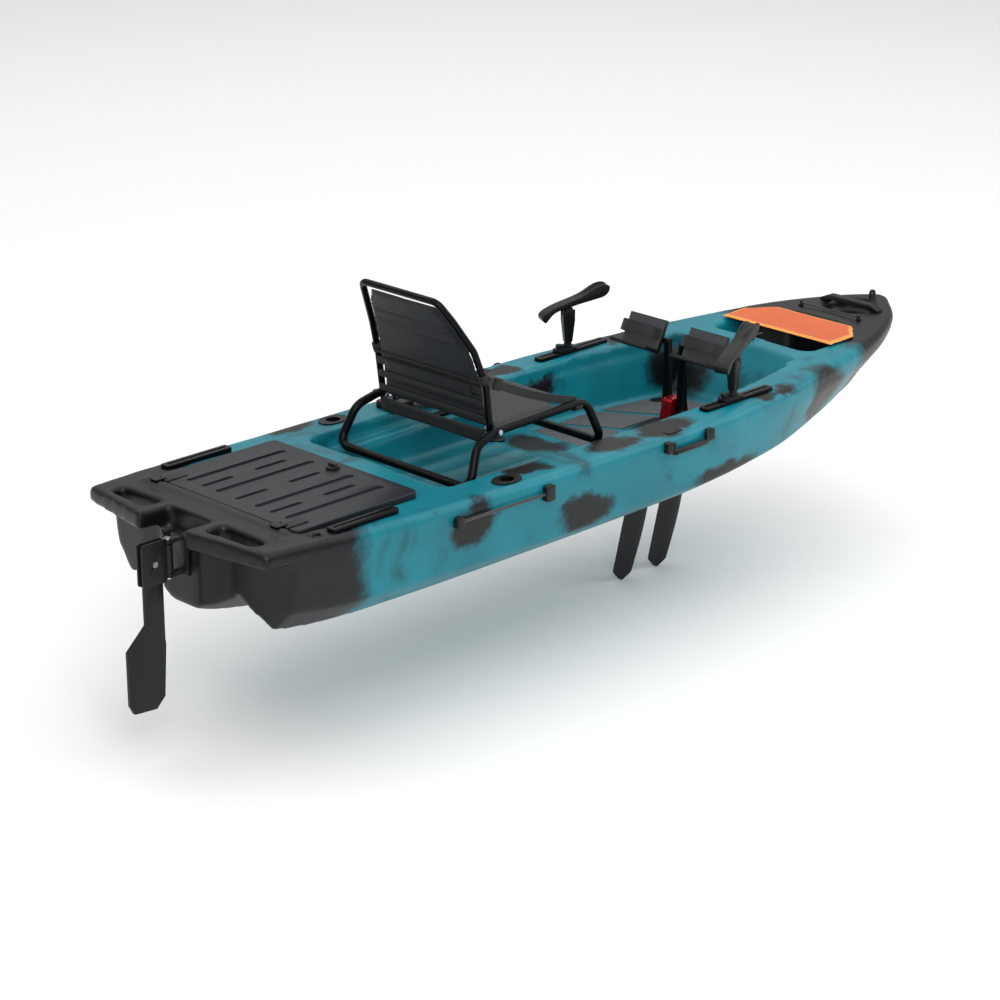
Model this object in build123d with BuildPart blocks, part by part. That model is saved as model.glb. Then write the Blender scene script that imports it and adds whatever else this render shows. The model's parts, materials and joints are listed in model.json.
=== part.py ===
"""Sit-on-top pedal fishing boat: rotomoulded hull, fin drive, framed seat, rudder and deck fittings.

Frame: +X to the bow, +Y to port, +Z up. The origin is amidships, on the centreline, at the waterline.
All sizes are millimetres.
"""
import os
from math import cos, radians, sin

from build123d import *

os.makedirs("parts", exist_ok=True)

# ---------------------------------------------------------------- driving dimensions
# hull
HULL_LENGTH = 3050.0
BEAM = 865.0
WALL = 5.0
# heights of the decks and floors above the waterline
DECK_Z = 186.0
LEDGE_Z = 140.0
FOOTWELL_Z = 0.0
SEAT_FLOOR_Z = 40.0
BOW_WELL_Z = 30.0
HOLD_Z = 30.0
STERN_DECK_Z = 212.0
# cockpit
SIDE_DECK = 133.0
LEDGE = 44.0
FOOTWELL_REAR = 75.0
FOOTWELL_FRONT = 718.0
COCKPIT_REAR = -770.0
SCUPPER_R = 20.0
# drive
DRIVE_X = 500.0
WELL_LENGTH = 393.0
WELL_WIDTH = 110.0
FIN_SPACING = 161.0
FIN_LENGTH = 345.0
FIN_CHORD = 116.0
CRANK_LENGTH = 222.0
# hatch
HATCH_LENGTH = 440.0
HATCH_WIDTH = 600.0
# seat
SEAT_DEPTH = 400.0
SEAT_TUBE_R = 12.5
# deck fittings
TRACK_LENGTH = 305.0
TRACK_WIDTH = 34.0
ROD_TUBE_R = 24.0
# rudder
BLADE_LENGTH = 300.0
BLADE_WIDTH = 128.0
# clearances
RUN_FIT = 0.05     # radial, shaft in a bearing
SLIP = 0.3         # between surfaces that pass each other
SEAM = 2.0         # round a panel that sits in a recess

HALF_L = HULL_LENGTH / 2
HALF_B = BEAM / 2
BOW_X = HALF_L
STERN_X = -HALF_L

# ---------------------------------------------------------------- hull lines
# One row per station, from the stern: the station as a share of the half length; then, for gunwale, chine,
# runner, arch and keel, the half breadth as a share of the half beam and the height in mm.
LINES = [
    (-1.010, (0.850, 216), (0.800, 62), (0.660, 8), (0.390, 66), (0.120, -2)),
    (-0.900, (0.890, 211), (0.845, 22), (0.690, -48), (0.390, 14), (0.110, -62)),
    (-0.760, (0.940, 203), (0.890, 2), (0.710, -68), (0.390, -18), (0.100, -96)),
    (-0.500, (0.970, 192), (0.920, -8), (0.720, -74), (0.390, -32), (0.090, -107)),
    (-0.200, (0.992, 187), (0.942, -10), (0.720, -75), (0.385, -36), (0.087, -110)),
    (0.100, (1.000, 186), (0.942, -9), (0.705, -75), (0.375, -37), (0.084, -110)),
    (0.350, (0.932, 187), (0.850, -1), (0.610, -68), (0.335, -44), (0.078, -110)),
    (0.550, (0.805, 191), (0.670, 16), (0.440, -55), (0.260, -60), (0.070, -109)),
    (0.700, (0.680, 196), (0.500, 36), (0.290, -42), (0.175, -72), (0.055, -105)),
    (0.800, (0.562, 200), (0.365, 54), (0.195, -24), (0.120, -68), (0.045, -96)),
    (0.870, (0.446, 203), (0.255, 74), (0.130, 2), (0.085, -42), (0.038, -74)),
    (0.920, (0.340, 205), (0.180, 98), (0.095, 42), (0.065, 4), (0.034, -30)),
    (0.955, (0.242, 207), (0.130, 124), (0.078, 84), (0.055, 56), (0.032, 30)),
    (0.980, (0.160, 208), (0.098, 146), (0.065, 120), (0.048, 102), (0.030, 86)),
    (1.000, (0.080, 208), (0.066, 170), (0.052, 158), (0.042, 150), (0.030, 143)),
]
FRAMES = 40            # cross sections that the hull form is drawn through
TRANSOM_TRIM = 15.0    # the form runs this far past the stern, where it is trimmed
GUNWALE_ROUND = 16.0
CROWN = 6.0


def ease(values, stations, x):
    """Value at x of the smooth curve through the values at the stations, with no overshoot."""
    slopes = [(b - a) / (q - p) for a, b, p, q in zip(values, values[1:], stations, stations[1:])]
    tangents = [slopes[0]]
    for before, after in zip(slopes, slopes[1:]):
        same_way = before * after > 0
        tangents.append(2 * before * after / (before + after) if same_way else 0.0)
    tangents.append(slopes[-1])
    i = max(k for k in range(len(stations) - 1) if stations[k] <= x or k == 0)
    run = stations[i + 1] - stations[i]
    t = (x - stations[i]) / run
    return (
        (2 * t**3 - 3 * t**2 + 1) * values[i]
        + (t**3 - 2 * t**2 + t) * run * tangents[i]
        + (3 * t**2 - 2 * t**3) * values[i + 1]
        + (t**3 - t**2) * run * tangents[i + 1]
    )


def station_at(x):
    """Gunwale, chine, runner, arch and keel at x, each as (half breadth, height) in mm."""
    shares = [row[0] for row in LINES]
    share = max(shares[0], min(shares[-1], x / HALF_L))
    rails = []
    for line in range(1, 6):
        breadth = ease([row[line][0] for row in LINES], shares, share)
        height = ease([row[line][1] for row in LINES], shares, share)
        rails.append((breadth * HALF_B, height))
    return rails


def half_breadth(x):
    """Half breadth of the gunwale at x, in mm."""
    return station_at(x)[0][0]


def section_points(x, inset=0.0):
    """Half section from the deck's centre to the keel, as (y, z), moved in by the inset."""
    gunwale, chine, runner, arch, keel = station_at(x)
    round_off = min(GUNWALE_ROUND, gunwale[0] * 0.4)
    drop = round_off * 0.9
    points = [
        (0.0, gunwale[1] + CROWN - inset),
        (gunwale[0] - round_off - 0.4 * inset, gunwale[1] - inset),
        (gunwale[0] - inset, gunwale[1] - drop - 0.4 * inset),
        (gunwale[0] - 3 - inset, gunwale[1] - 0.35 * (gunwale[1] - chine[1])),
        (chine[0] - inset, chine[1] + 0.5 * inset),
        (runner[0] - 0.3 * inset, runner[1] + 1.1 * inset),
        (arch[0], arch[1] + 1.1 * inset),
        (keel[0] + 0.3 * inset, keel[1] + inset),
    ]
    return points


def hull_form(inset=0.0):
    """The smooth outer form of the hull, or its hollow when it is inset by the wall."""
    with BuildPart() as form:
        for step in range(FRAMES + 1):
            x = STERN_X - TRANSOM_TRIM + (HULL_LENGTH + TRANSOM_TRIM) * step / FRAMES
            half = section_points(x, inset)
            with BuildSketch(Plane.YZ.offset(x)):
                ring = half + [(-y, z) for y, z in reversed(half[1:])]
                with BuildLine():
                    Polyline(*ring, close=True)
                make_face()
        loft()
    return form.part


def prism(points, low, high, grow=0.0, corner=0.0, taper=0.0):
    """A plan outline raised from low to high; grow moves its sides outwards, corner rounds it."""
    with BuildPart() as block:
        with BuildSketch(Plane.XY.offset(low)) as outline:
            with BuildLine():
                Polyline(*points, close=True)
            make_face()
            if corner:
                fillet(outline.vertices(), radius=corner)
            if grow:
                offset(amount=grow, kind=Kind.INTERSECTION)
        extrude(amount=high - low, taper=taper)
    return block.part


def both_sides(half):
    """A closed outline from the points of its port side, listed from the stern to the bow."""
    return half + [(x, -y) for x, y in reversed(half)]


# ---------------------------------------------------------------- what is cut out of the hull
SKY = 300.0            # above every deck
KEEL_UNDER = -200.0    # below the keel
SIDE_LEAN = 8.0        # degrees that a tub's walls lean outwards

def cockpit_half(x):
    """Half width of the cockpit's opening at x."""
    return half_breadth(x) - SIDE_DECK


def cockpit_opening(grow):
    """The wide upper part, down to the ledges that carry the seat."""
    stations = [COCKPIT_REAR, -300.0, 60.0, 330.0, 540.0, FOOTWELL_FRONT + 60.0]
    outline = both_sides([(x, cockpit_half(x)) for x in stations])
    return prism(outline, LEDGE_Z - grow, SKY, grow, corner=45.0)


def footwell(grow):
    """The deep tub for the legs."""
    lean = (DECK_Z - FOOTWELL_Z) * 0.14
    stations = [FOOTWELL_REAR, 330.0, 540.0, FOOTWELL_FRONT]
    outline = both_sides([(x, cockpit_half(x) - lean) for x in stations])
    return prism(outline, FOOTWELL_Z - grow, SKY, grow, corner=30.0, taper=-SIDE_LEAN)


def foot_slope(grow):
    """The sloping bulkhead ahead of the feet."""
    run = 112.0
    half = cockpit_half(FOOTWELL_FRONT + run) - 10.0 + grow
    with BuildPart() as slope:
        with BuildSketch(Plane.XZ.offset(-half)):
            with BuildLine():
                Polyline(
                    (FOOTWELL_FRONT - 120.0, FOOTWELL_Z + 20.0 - grow),
                    (FOOTWELL_FRONT + 10.0 + grow, FOOTWELL_Z + 20.0 - grow),
                    (FOOTWELL_FRONT + run + grow, DECK_Z),
                    (FOOTWELL_FRONT + run + grow, SKY),
                    (FOOTWELL_FRONT - 120.0, SKY),
                    close=True,
                )
            make_face()
        extrude(amount=2 * half)
    return slope.part


def seat_well(grow):
    """The tub under the seat, between the ledges."""
    lean = 9.0
    stations = [COCKPIT_REAR + 70.0, -300.0, FOOTWELL_REAR + 30.0]
    outline = both_sides([(x, cockpit_half(x) - LEDGE - lean) for x in stations])
    return prism(outline, SEAT_FLOOR_Z - grow, SKY, grow, corner=30.0, taper=-5.0)


COVER_FRONT = BOW_X - 295.0
COVER_MID = BOW_X - 425.0
COVER_REAR = BOW_X - 611.0
COVER_TILT = 1.1       # degrees; the bow deck rises to the nose
COVER_SEAT_Z = 198.5   # height of the cover's seat at its rear edge
WELL_RIM = 22.0        # width of the deck that the cover's edge lies on
WELL_REAR = COVER_REAR - 26.0
cover_plane = Plane(
    origin=(COVER_REAR, 0, COVER_SEAT_Z),
    x_dir=(cos(radians(COVER_TILT)), 0, sin(radians(COVER_TILT))),
    z_dir=(-sin(radians(COVER_TILT)), 0, cos(radians(COVER_TILT))),
)


def cover_half_points(margin=0.0):
    """Port side of the bow cover's outline, moved in by the margin."""
    return [
        (margin, half_breadth(COVER_REAR) - 98.0 - margin),
        (COVER_MID - COVER_REAR, half_breadth(COVER_MID) - 56.0 - margin),
        (COVER_FRONT - COVER_REAR - margin, 120.0 - 0.5 * margin),
    ]


def bow_well(grow):
    """The stowage well under the cloth cover, open behind its rear edge."""
    half = cover_half_points(WELL_RIM)
    outline = [(WELL_REAR - COVER_REAR, half[0][1] - 14.0)] + half
    outline = both_sides([(x + COVER_REAR, y) for x, y in outline])
    with BuildPart() as well:
        with BuildSketch(Plane.XY.offset(SKY)) as mouth:
            with BuildLine():
                Polyline(*outline, close=True)
            make_face()
            fillet(mouth.vertices(), radius=25.0)
            offset(amount=grow + 18.0, kind=Kind.INTERSECTION)
        extrude(amount=BOW_WELL_Z - grow - SKY, taper=14.0)
        lip = well.part
    return lip & prism(outline, KEEL_UNDER, SKY, grow, corner=25.0)


def cover_seat(grow):
    """The shallow flat that the cover's edge lies in."""
    with BuildPart() as seat:
        with BuildSketch(cover_plane.offset(-grow)):
            with BuildLine():
                Polyline(*both_sides(cover_half_points(-8.0 - grow)), close=True)
            make_face()
        extrude(amount=SKY - COVER_SEAT_Z)
    return seat.part


WELL_X = DRIVE_X - 28.0


def lens_prism(length, width, low, high):
    """The drive well's outline, two arcs that meet in points fore and aft, raised from low to high."""
    aft = (WELL_X - length / 2, 0)
    fore = (WELL_X + length / 2, 0)
    port = (WELL_X, width / 2)
    starboard = (WELL_X, -width / 2)
    with BuildPart() as block:
        with BuildSketch(Plane.XY.offset(low)):
            with BuildLine():
                ThreePointArc(aft, port, fore)
                ThreePointArc(fore, starboard, aft)
            make_face()
        extrude(amount=high - low)
    return block.part


def drive_well(grow):
    """The slot through the hull that the drive drops into."""
    return lens_prism(WELL_LENGTH + 2.2 * grow, WELL_WIDTH + 2 * grow, KEEL_UNDER, SKY)


SCUPPERS = [(635.0, 190.0), (212.0, 214.0), (-75.0, 205.0)]


def scuppers(grow):
    """Drain holes from the floors through the bottom."""
    spots = [(x, side * y) for x, y in SCUPPERS for side in (1, -1)]
    with BuildPart() as holes:
        with BuildSketch(Plane.XY.offset(KEEL_UNDER)):
            with Locations(*spots):
                Circle(SCUPPER_R + grow)
        extrude(amount=SEAT_FLOOR_Z + 60.0 - KEEL_UNDER)
    return holes.part


HANDLE_X = BOW_X - 159.0
HANDLE_SEAT_Z = 205.0


def handle_recess(grow):
    """The oval finger recess under the bow handle."""
    with BuildPart() as recess:
        with BuildSketch(Plane.XY.offset(HANDLE_SEAT_Z - 42.0 - grow)):
            with Locations((HANDLE_X, 0)):
                Ellipse(80.0 + grow, 84.0 + grow)
        extrude(amount=SKY)
    return recess.part


HATCH_FRONT = STERN_X + 655.0
HATCH_REAR = HATCH_FRONT - HATCH_LENGTH
HATCH_SEAT_Z = 190.0
HOLD_RIM = 30.0


def rectangle_points(front, rear, half):
    return [(rear, half), (front, half), (front, -half), (rear, -half)]


def hatch_seat(grow):
    """The flat rim that the hatch lid and its seal lie on."""
    outline = rectangle_points(HATCH_FRONT + SEAM, HATCH_REAR - 6.0, HATCH_WIDTH / 2 + SEAM)
    return prism(outline, HATCH_SEAT_Z - grow, SKY, grow, corner=24.0)


def hold(grow):
    """The stowage hold under the hatch."""
    outline = rectangle_points(HATCH_FRONT - HOLD_RIM, HATCH_REAR + HOLD_RIM, HATCH_WIDTH / 2 - HOLD_RIM)
    return prism(outline, HOLD_Z - grow, SKY, grow, corner=40.0)


def latch_pocket(grow):
    """The pocket ahead of the hold, under the rim, that the latch's tongue turns into."""
    outline = rectangle_points(HATCH_FRONT - HOLD_RIM + 24.0, HATCH_FRONT - HOLD_RIM - 6.0, 40.0)
    return prism(outline, HATCH_SEAT_Z - WALL - 12.0 - grow, HATCH_SEAT_Z - WALL + grow, grow)


STERN_CORNER = STERN_X + 46.0
HANDLE_FLANGE = 46.0   # thickness of the moulded grab handles
NOTCH_HALF = 88.0
TRANSOM_X = STERN_X + 65.0


def stern_trim(grow):
    """What lies outside the stern's outline at deck level."""
    behind = STERN_X - 90.0
    reach = 0.9 * BEAM
    outline = [
        (STERN_CORNER + grow + 30.0, reach),
        (STERN_CORNER + grow, 376.0),
        (STERN_X + grow, 106.0),
        (STERN_X + grow, -106.0),
        (STERN_CORNER + grow, -376.0),
        (STERN_CORNER + grow + 30.0, -reach),
        (behind, -reach),
        (behind, reach),
    ]
    return prism(outline, KEEL_UNDER, SKY)


def transom_trim(grow):
    """The body under the grab handles ends forward of them, with a block at its middle for the rudder."""
    behind = STERN_X - 90.0
    reach = 0.9 * BEAM
    outline = [
        (STERN_X + 165.0 + grow, reach),
        (STERN_X + 125.0 + grow, 330.0),
        (STERN_X + 98.0 + grow, NOTCH_HALF + 14.0 - grow),
        (TRANSOM_X + grow, NOTCH_HALF - grow),
        (TRANSOM_X + grow, -NOTCH_HALF + grow),
        (STERN_X + 98.0 + grow, -NOTCH_HALF - 14.0 + grow),
        (STERN_X + 125.0 + grow, -330.0),
        (STERN_X + 165.0 + grow, -reach),
        (behind, -reach),
        (behind, reach),
    ]
    return prism(outline, KEEL_UNDER, STERN_DECK_Z - HANDLE_FLANGE + grow)


def grab_slots(grow):
    """The two openings that turn the stern flange into handles."""
    with BuildPart() as slots:
        for side in (1, -1):
            with BuildSketch(Plane.XY.offset(KEEL_UNDER)) as slot:
                with BuildLine():
                    Polyline(
                        (STERN_X + 113.0, side * 128.0),
                        (STERN_X + 113.0, side * 300.0),
                        (STERN_X + 70.0, side * 300.0),
                        (STERN_X + 41.0, side * 128.0),
                        close=True,
                    )
                make_face()
                fillet(slot.vertices(), radius=16.0)
                if grow:
                    offset(amount=grow)
            extrude(amount=SKY - KEEL_UNDER)
    return slots.part


NOTCH_Z = 150.0


def rudder_notch(grow):
    """The lowered step between the grab handles, where the rudder's bracket is."""
    outline = rectangle_points(STERN_X + 104.0 + grow, STERN_X - 90.0, NOTCH_HALF + grow)
    return prism(outline, NOTCH_Z - grow, SKY)


TRACK_X = 392.0
TRACK_Y = HALF_B - 90.0
TRACK_SEAT_Z = 183.0
STERN_TRACK_X = STERN_X + 405.0
STERN_TRACK_Y = HALF_B - 86.0
STERN_TRACK_LENGTH = 235.0
STERN_TRACK_SEAT_Z = 201.0
BOX_X = -375.0
BOX_Y = HALF_B - 101.0
BOX_SEAT_Z = 183.0
BOX_LENGTH = 92.0
BOX_WIDTH = 80.0
BADGE_X = 46.0
BADGE_Y = HALF_B - 37.0
BADGE_SEAT_Z = 184.0
FLUSH_X = -597.0
FLUSH_Y = HALF_B - 73.0
FLUSH_SEAT_Z = 187.0
PLUG_X = STERN_X + 247.0
PLUG_Y = HALF_B - 96.0
EYE_X = BOW_X - 48.0
HOOK_X = COVER_FRONT + 24.0
HOOK_Y = 120.0
REAR_HOOK_X = COVER_REAR - 50.0
REAR_HOOK_Z = 200.0


def seats_for_fittings(grow):
    """Shallow flats in the side decks, so that each fitting sits on a level seat."""
    flats = [
        (TRACK_X, TRACK_Y, TRACK_LENGTH, TRACK_WIDTH, TRACK_SEAT_Z),
        (STERN_TRACK_X, STERN_TRACK_Y, STERN_TRACK_LENGTH, TRACK_WIDTH, STERN_TRACK_SEAT_Z),
        (BADGE_X, BADGE_Y, 62.0, 32.0, BADGE_SEAT_Z),
        (FLUSH_X, FLUSH_Y, 104.0, 68.0, FLUSH_SEAT_Z),
        (PLUG_X, PLUG_Y, 40.0, 40.0, STERN_TRACK_SEAT_Z),
    ]
    with BuildPart() as seats:
        for x, y, length, width, z in flats:
            with BuildSketch(Plane.XY.offset(z - grow)):
                with Locations((x, y), (x, -y)):
                    Rectangle(length + SEAM + 2 * grow, width + SEAM + 2 * grow)
            extrude(amount=SKY - z)
        with BuildSketch(Plane.XY.offset(BOX_SEAT_Z - grow)):
            with Locations((BOX_X, BOX_Y)):
                Rectangle(BOX_LENGTH + SEAM + 2 * grow, BOX_WIDTH + SEAM + 2 * grow)
        extrude(amount=SKY)
        with BuildSketch(Plane.XY.offset(HANDLE_SEAT_Z - grow)):
            with Locations((HANDLE_X, 0)):
                Rectangle(40.0 + 2 * grow, 250.0 + 2 * grow)
            with Locations((EYE_X, 0)):
                Rectangle(62.0 + 2 * grow, 46.0 + 2 * grow)
            with Locations((HOOK_X, HOOK_Y), (HOOK_X, -HOOK_Y)):
                Rectangle(24.0 + 2 * grow, 24.0 + 2 * grow)
        extrude(amount=SKY)
        with BuildSketch(Plane.XY.offset(REAR_HOOK_Z - grow)):
            with Locations((REAR_HOOK_X, 0)):
                Rectangle(26.0 + 2 * grow, 26.0 + 2 * grow)
        extrude(amount=SKY)
    return seats.part


CUTTERS = [
    cockpit_opening, footwell, foot_slope, seat_well, bow_well, cover_seat, drive_well, scuppers,
    handle_recess, hatch_seat, hold, latch_pocket, stern_trim, transom_trim, grab_slots, rudder_notch,
    seats_for_fittings,
]

FLUSH_BORE_R = 21.0
FLUSH_DEPTH = 175.0
FLUSH_LEAN = 22.0      # degrees that the tubes lean aft
lean_dir = (-sin(radians(FLUSH_LEAN)), 0, cos(radians(FLUSH_LEAN)))


def lean_plane(y):
    """Across a flush rod holder's tube, at its rim."""
    return Plane(origin=(FLUSH_X, y, FLUSH_SEAT_Z + 6.0), x_dir=(lean_dir[2], 0, -lean_dir[0]), z_dir=lean_dir)


def flush_holes():
    """Where the rod holder tubes pass through the side decks."""
    with BuildPart() as holes:
        for y in (FLUSH_Y, -FLUSH_Y):
            with BuildSketch(lean_plane(y).offset(40.0)):
                Circle(ROD_TUBE_R + 1.0)
            extrude(amount=-80.0)
    return holes.part


cuts = [cutter(0.0) for cutter in CUTTERS]
grown_cuts = [cutter(WALL) for cutter in CUTTERS]
rod_tube_holes = flush_holes()
outer_form = hull_form()
inner_form = hull_form(WALL)
RIB_HEIGHT = 4.0
RIB_WIDTH = 12.0
STERN_BAR_X = HATCH_REAR - 30.0
STERN_BAR_Z = 225.0
# The floor ribs that part the footwell mats: (x, y) at the drive well and at the side wall, port side.
RIBS = [((DRIVE_X + 30.0, 72.0), (412.0, 262.0)), ((DRIVE_X - 158.0, 72.0), (222.0, 262.0))]

with BuildPart() as hollow:
    add(inner_form)
    with Locations((BOW_X, 0, 100.0)):
        Box(4 * WALL, 200.0, 400.0, mode=Mode.SUBTRACT)
    for cut in grown_cuts:
        add(cut, mode=Mode.SUBTRACT)

with BuildPart() as hull:
    add(outer_form)
    for cut in cuts:
        add(cut, mode=Mode.SUBTRACT)
    add(hollow.part, mode=Mode.SUBTRACT)
    add(rod_tube_holes, mode=Mode.SUBTRACT)
    with BuildSketch(Plane.XY.offset(FOOTWELL_Z - 1.0)):
        for (x1, y1), (x2, y2) in RIBS:
            for side in (1, -1):
                with BuildLine():
                    Line((x1, side * y1), (x2, side * y2))
                trace(line_width=RIB_WIDTH)
    extrude(amount=RIB_HEIGHT + 1.0)
    with BuildSketch(Plane.XY.offset(SEAT_FLOOR_Z - 1.0)):
        with GridLocations(0, 90.0, 1, 5):
            with Locations((-320.0, 0)):
                SlotOverall(460.0, 22.0)
    extrude(amount=7.0)
    with BuildSketch(Plane.XY.offset(STERN_DECK_Z - 4.0)) as bar:
        with Locations((STERN_BAR_X, 0)):
            Rectangle(30.0, HATCH_WIDTH)
        fillet(bar.vertices(), radius=10.0)
    extrude(amount=STERN_BAR_Z - STERN_DECK_Z + 4.0, taper=12.0)
hull.part.label = "hull"
export_step(hull.part, "parts/hull.step")


def save(part, label):
    """Give a finished piece its name and write it to its own file."""
    part.label = label
    export_step(part, "parts/" + label + ".step")


# ---------------------------------------------------------------- footwell mats, plugs
MAT_THICK = 5.0
MAT_GAP = 4.0


def footwell_mats():
    """Six grooved foam mats, parted by the ribs, the drive well and the centre strip."""
    edge = cockpit_half(330.0) - 38.0
    front_edge = cockpit_half(FOOTWELL_FRONT) - 42.0
    inner = 26.0
    (rib_a, wall_a), (rib_b, wall_b) = RIBS
    gap = RIB_WIDTH / 2 + MAT_GAP
    fore_slope = (wall_a[0] - rib_a[0]) / (wall_a[1] - rib_a[1])
    aft_slope = (wall_b[0] - rib_b[0]) / (wall_b[1] - rib_b[1])
    start = rib_a[1] + 6.0
    outlines = [
        [
            (FOOTWELL_FRONT - 16.0, inner),
            (FOOTWELL_FRONT - 16.0, front_edge),
            (rib_a[0] + fore_slope * (edge - rib_a[1]) + 1.3 * gap, edge),
            (rib_a[0] + fore_slope * 6.0 + 1.3 * gap, start),
            (WELL_X + WELL_LENGTH / 2 - 20.0, inner),
        ],
        [
            (rib_a[0] + fore_slope * 6.0 - 1.3 * gap, start),
            (rib_a[0] + fore_slope * (edge - rib_a[1]) - 1.3 * gap, edge),
            (rib_b[0] + aft_slope * (edge - rib_b[1]) + 1.3 * gap, edge),
            (rib_b[0] + aft_slope * 6.0 + 1.3 * gap, start),
        ],
        [
            (rib_b[0] + aft_slope * 6.0 - 1.3 * gap, start),
            (rib_b[0] + aft_slope * (edge - rib_b[1]) - 1.3 * gap, edge),
            (FOOTWELL_REAR + 14.0, edge),
            (FOOTWELL_REAR + 14.0, inner),
            (WELL_X - WELL_LENGTH / 2 - 22.0, inner),
        ],
    ]
    keep_clear = lens_prism(WELL_LENGTH + 70.0, WELL_WIDTH + 44.0, -1.0, 20.0)
    with BuildPart() as mats:
        for outline in outlines:
            for side in (1, -1):
                with BuildSketch(Plane.XY.offset(FOOTWELL_Z)) as mat:
                    with BuildLine():
                        Polyline(*[(x, side * y) for x, y in outline], close=True)
                    make_face()
                    fillet(mat.vertices(), radius=8.0)
                extrude(amount=MAT_THICK)
        with BuildSketch(Plane.XY.offset(FOOTWELL_Z)):
            with Locations(*[(x, side * y) for x, y in SCUPPERS for side in (1, -1)]):
                Circle(SCUPPER_R + 8.0)
        extrude(amount=MAT_THICK, mode=Mode.SUBTRACT)
        add(keep_clear, mode=Mode.SUBTRACT)
    return mats.part


save(footwell_mats(), "footwell_mats")

with BuildPart() as scupper_plugs:
    for x, y in SCUPPERS:
        floor = SEAT_FLOOR_Z if x < FOOTWELL_REAR else FOOTWELL_Z
        with BuildSketch(Plane.XY.offset(floor)):
            with Locations((x, y), (x, -y)):
                Circle(SCUPPER_R + 5.0)
        extrude(amount=4.0)
        with BuildSketch(Plane.XY.offset(floor)):
            with Locations((x, y), (x, -y)):
                Circle(SCUPPER_R - SLIP)
        extrude(amount=-24.0, taper=5.0)
        with BuildSketch(Plane.XY.offset(floor + 4.0)):
            with Locations((x, y), (x, -y)):
                Rectangle(22.0, 5.0)
        extrude(amount=6.0)
save(scupper_plugs.part, "scupper_plugs")

with BuildPart() as deck_plug:
    with BuildSketch(Plane.XY.offset(STERN_TRACK_SEAT_Z)):
        with Locations((PLUG_X, -PLUG_Y)):
            Circle(17.0)
    extrude(amount=6.0, taper=15.0)
    with BuildSketch(Plane.XY.offset(STERN_TRACK_SEAT_Z + 6.0)):
        with Locations((PLUG_X, -PLUG_Y)):
            Rectangle(22.0, 5.0)
    extrude(amount=4.0)
save(deck_plug.part, "deck_plug")

# ---------------------------------------------------------------- bow fittings
EYE_R = 6.0
EYE_LUG = 8.0
EYE_HEIGHT = 18.0
with BuildPart() as bow_eye:
    with BuildSketch(Plane.XY.offset(HANDLE_SEAT_Z)) as foot:
        with Locations((EYE_X, 0)):
            Rectangle(58.0, 42.0)
        fillet(foot.vertices(), radius=12.0)
    extrude(amount=4.0)
    with BuildSketch(Plane.XZ.offset(-EYE_LUG / 2)):
        with Locations((EYE_X, HANDLE_SEAT_Z + EYE_HEIGHT)):
            Circle(13.0)
        with Locations((EYE_X, HANDLE_SEAT_Z + EYE_HEIGHT / 2)):
            Rectangle(26.0, EYE_HEIGHT - 2.0)
        with Locations((EYE_X, HANDLE_SEAT_Z + EYE_HEIGHT)):
            Circle(EYE_R, mode=Mode.SUBTRACT)
    extrude(amount=EYE_LUG)
save(bow_eye.part, "bow_eye")

HANDLE_GRIP = 30.0
HANDLE_SPAN = 236.0
HANDLE_RISE = 16.0
with BuildPart() as bow_handle:
    with BuildSketch(Plane.YZ.offset(HANDLE_X - HANDLE_GRIP / 2)):
        with BuildLine():
            Polyline(
                (-HANDLE_SPAN / 2, HANDLE_SEAT_Z),
                (-HANDLE_SPAN / 2, HANDLE_SEAT_Z + 7.0),
                (-HANDLE_SPAN / 2 + 34.0, HANDLE_SEAT_Z + HANDLE_RISE + 6.0),
                (HANDLE_SPAN / 2 - 34.0, HANDLE_SEAT_Z + HANDLE_RISE + 6.0),
                (HANDLE_SPAN / 2, HANDLE_SEAT_Z + 7.0),
                (HANDLE_SPAN / 2, HANDLE_SEAT_Z),
                (HANDLE_SPAN / 2 - 26.0, HANDLE_SEAT_Z),
                (HANDLE_SPAN / 2 - 40.0, HANDLE_SEAT_Z + 6.0),
                (-HANDLE_SPAN / 2 + 40.0, HANDLE_SEAT_Z + 6.0),
                (-HANDLE_SPAN / 2 + 26.0, HANDLE_SEAT_Z),
                close=True,
            )
        make_face()
    extrude(amount=HANDLE_GRIP)
    fillet(bow_handle.edges().filter_by(Axis.Y).group_by(Axis.Z)[-1], radius=5.0)
save(bow_handle.part, "bow_handle")

COVER_THICK = 4.0
with BuildPart() as bow_cover:
    with BuildSketch(cover_plane.offset(SLIP)) as cloth:
        with BuildLine():
            Polyline(*both_sides(cover_half_points()), close=True)
        make_face()
        fillet(cloth.vertices(), radius=10.0)
    extrude(amount=COVER_THICK)
save(bow_cover.part, "bow_cover")

HOOK_STEM_R = 4.0
CORD_R = 2.5
HOOK_SPOTS = [(HOOK_X, HOOK_Y, HANDLE_SEAT_Z), (HOOK_X, -HOOK_Y, HANDLE_SEAT_Z), (REAR_HOOK_X, 0.0, REAR_HOOK_Z)]
with BuildPart() as cover_hooks:
    for x, y, z in HOOK_SPOTS:
        for radius, low, high in ((9.0, -9.0, 4.0), (HOOK_STEM_R, 4.0, 12.0), (7.0, 12.0, 15.0)):
            with BuildSketch(Plane.XY.offset(z + low)):
                with Locations((x, y)):
                    Circle(radius)
            extrude(amount=high - low)
    add(outer_form, mode=Mode.SUBTRACT)
save(cover_hooks.part, "cover_hooks")

cord_reach = HOOK_Y - HOOK_STEM_R
with BuildPart() as cover_cord:
    with BuildSketch(Plane.XZ.offset(-cord_reach)):
        with Locations((HOOK_X, HANDLE_SEAT_Z + 7.5)):
            Circle(CORD_R)
    extrude(amount=2 * cord_reach)
    with BuildSketch(Plane.YZ.offset(REAR_HOOK_X + HOOK_STEM_R)):
        with Locations((0, REAR_HOOK_Z + 7.5)):
            Circle(CORD_R)
    extrude(amount=COVER_REAR - REAR_HOOK_X - HOOK_STEM_R)
save(cover_cord.part, "cover_cord")

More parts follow.
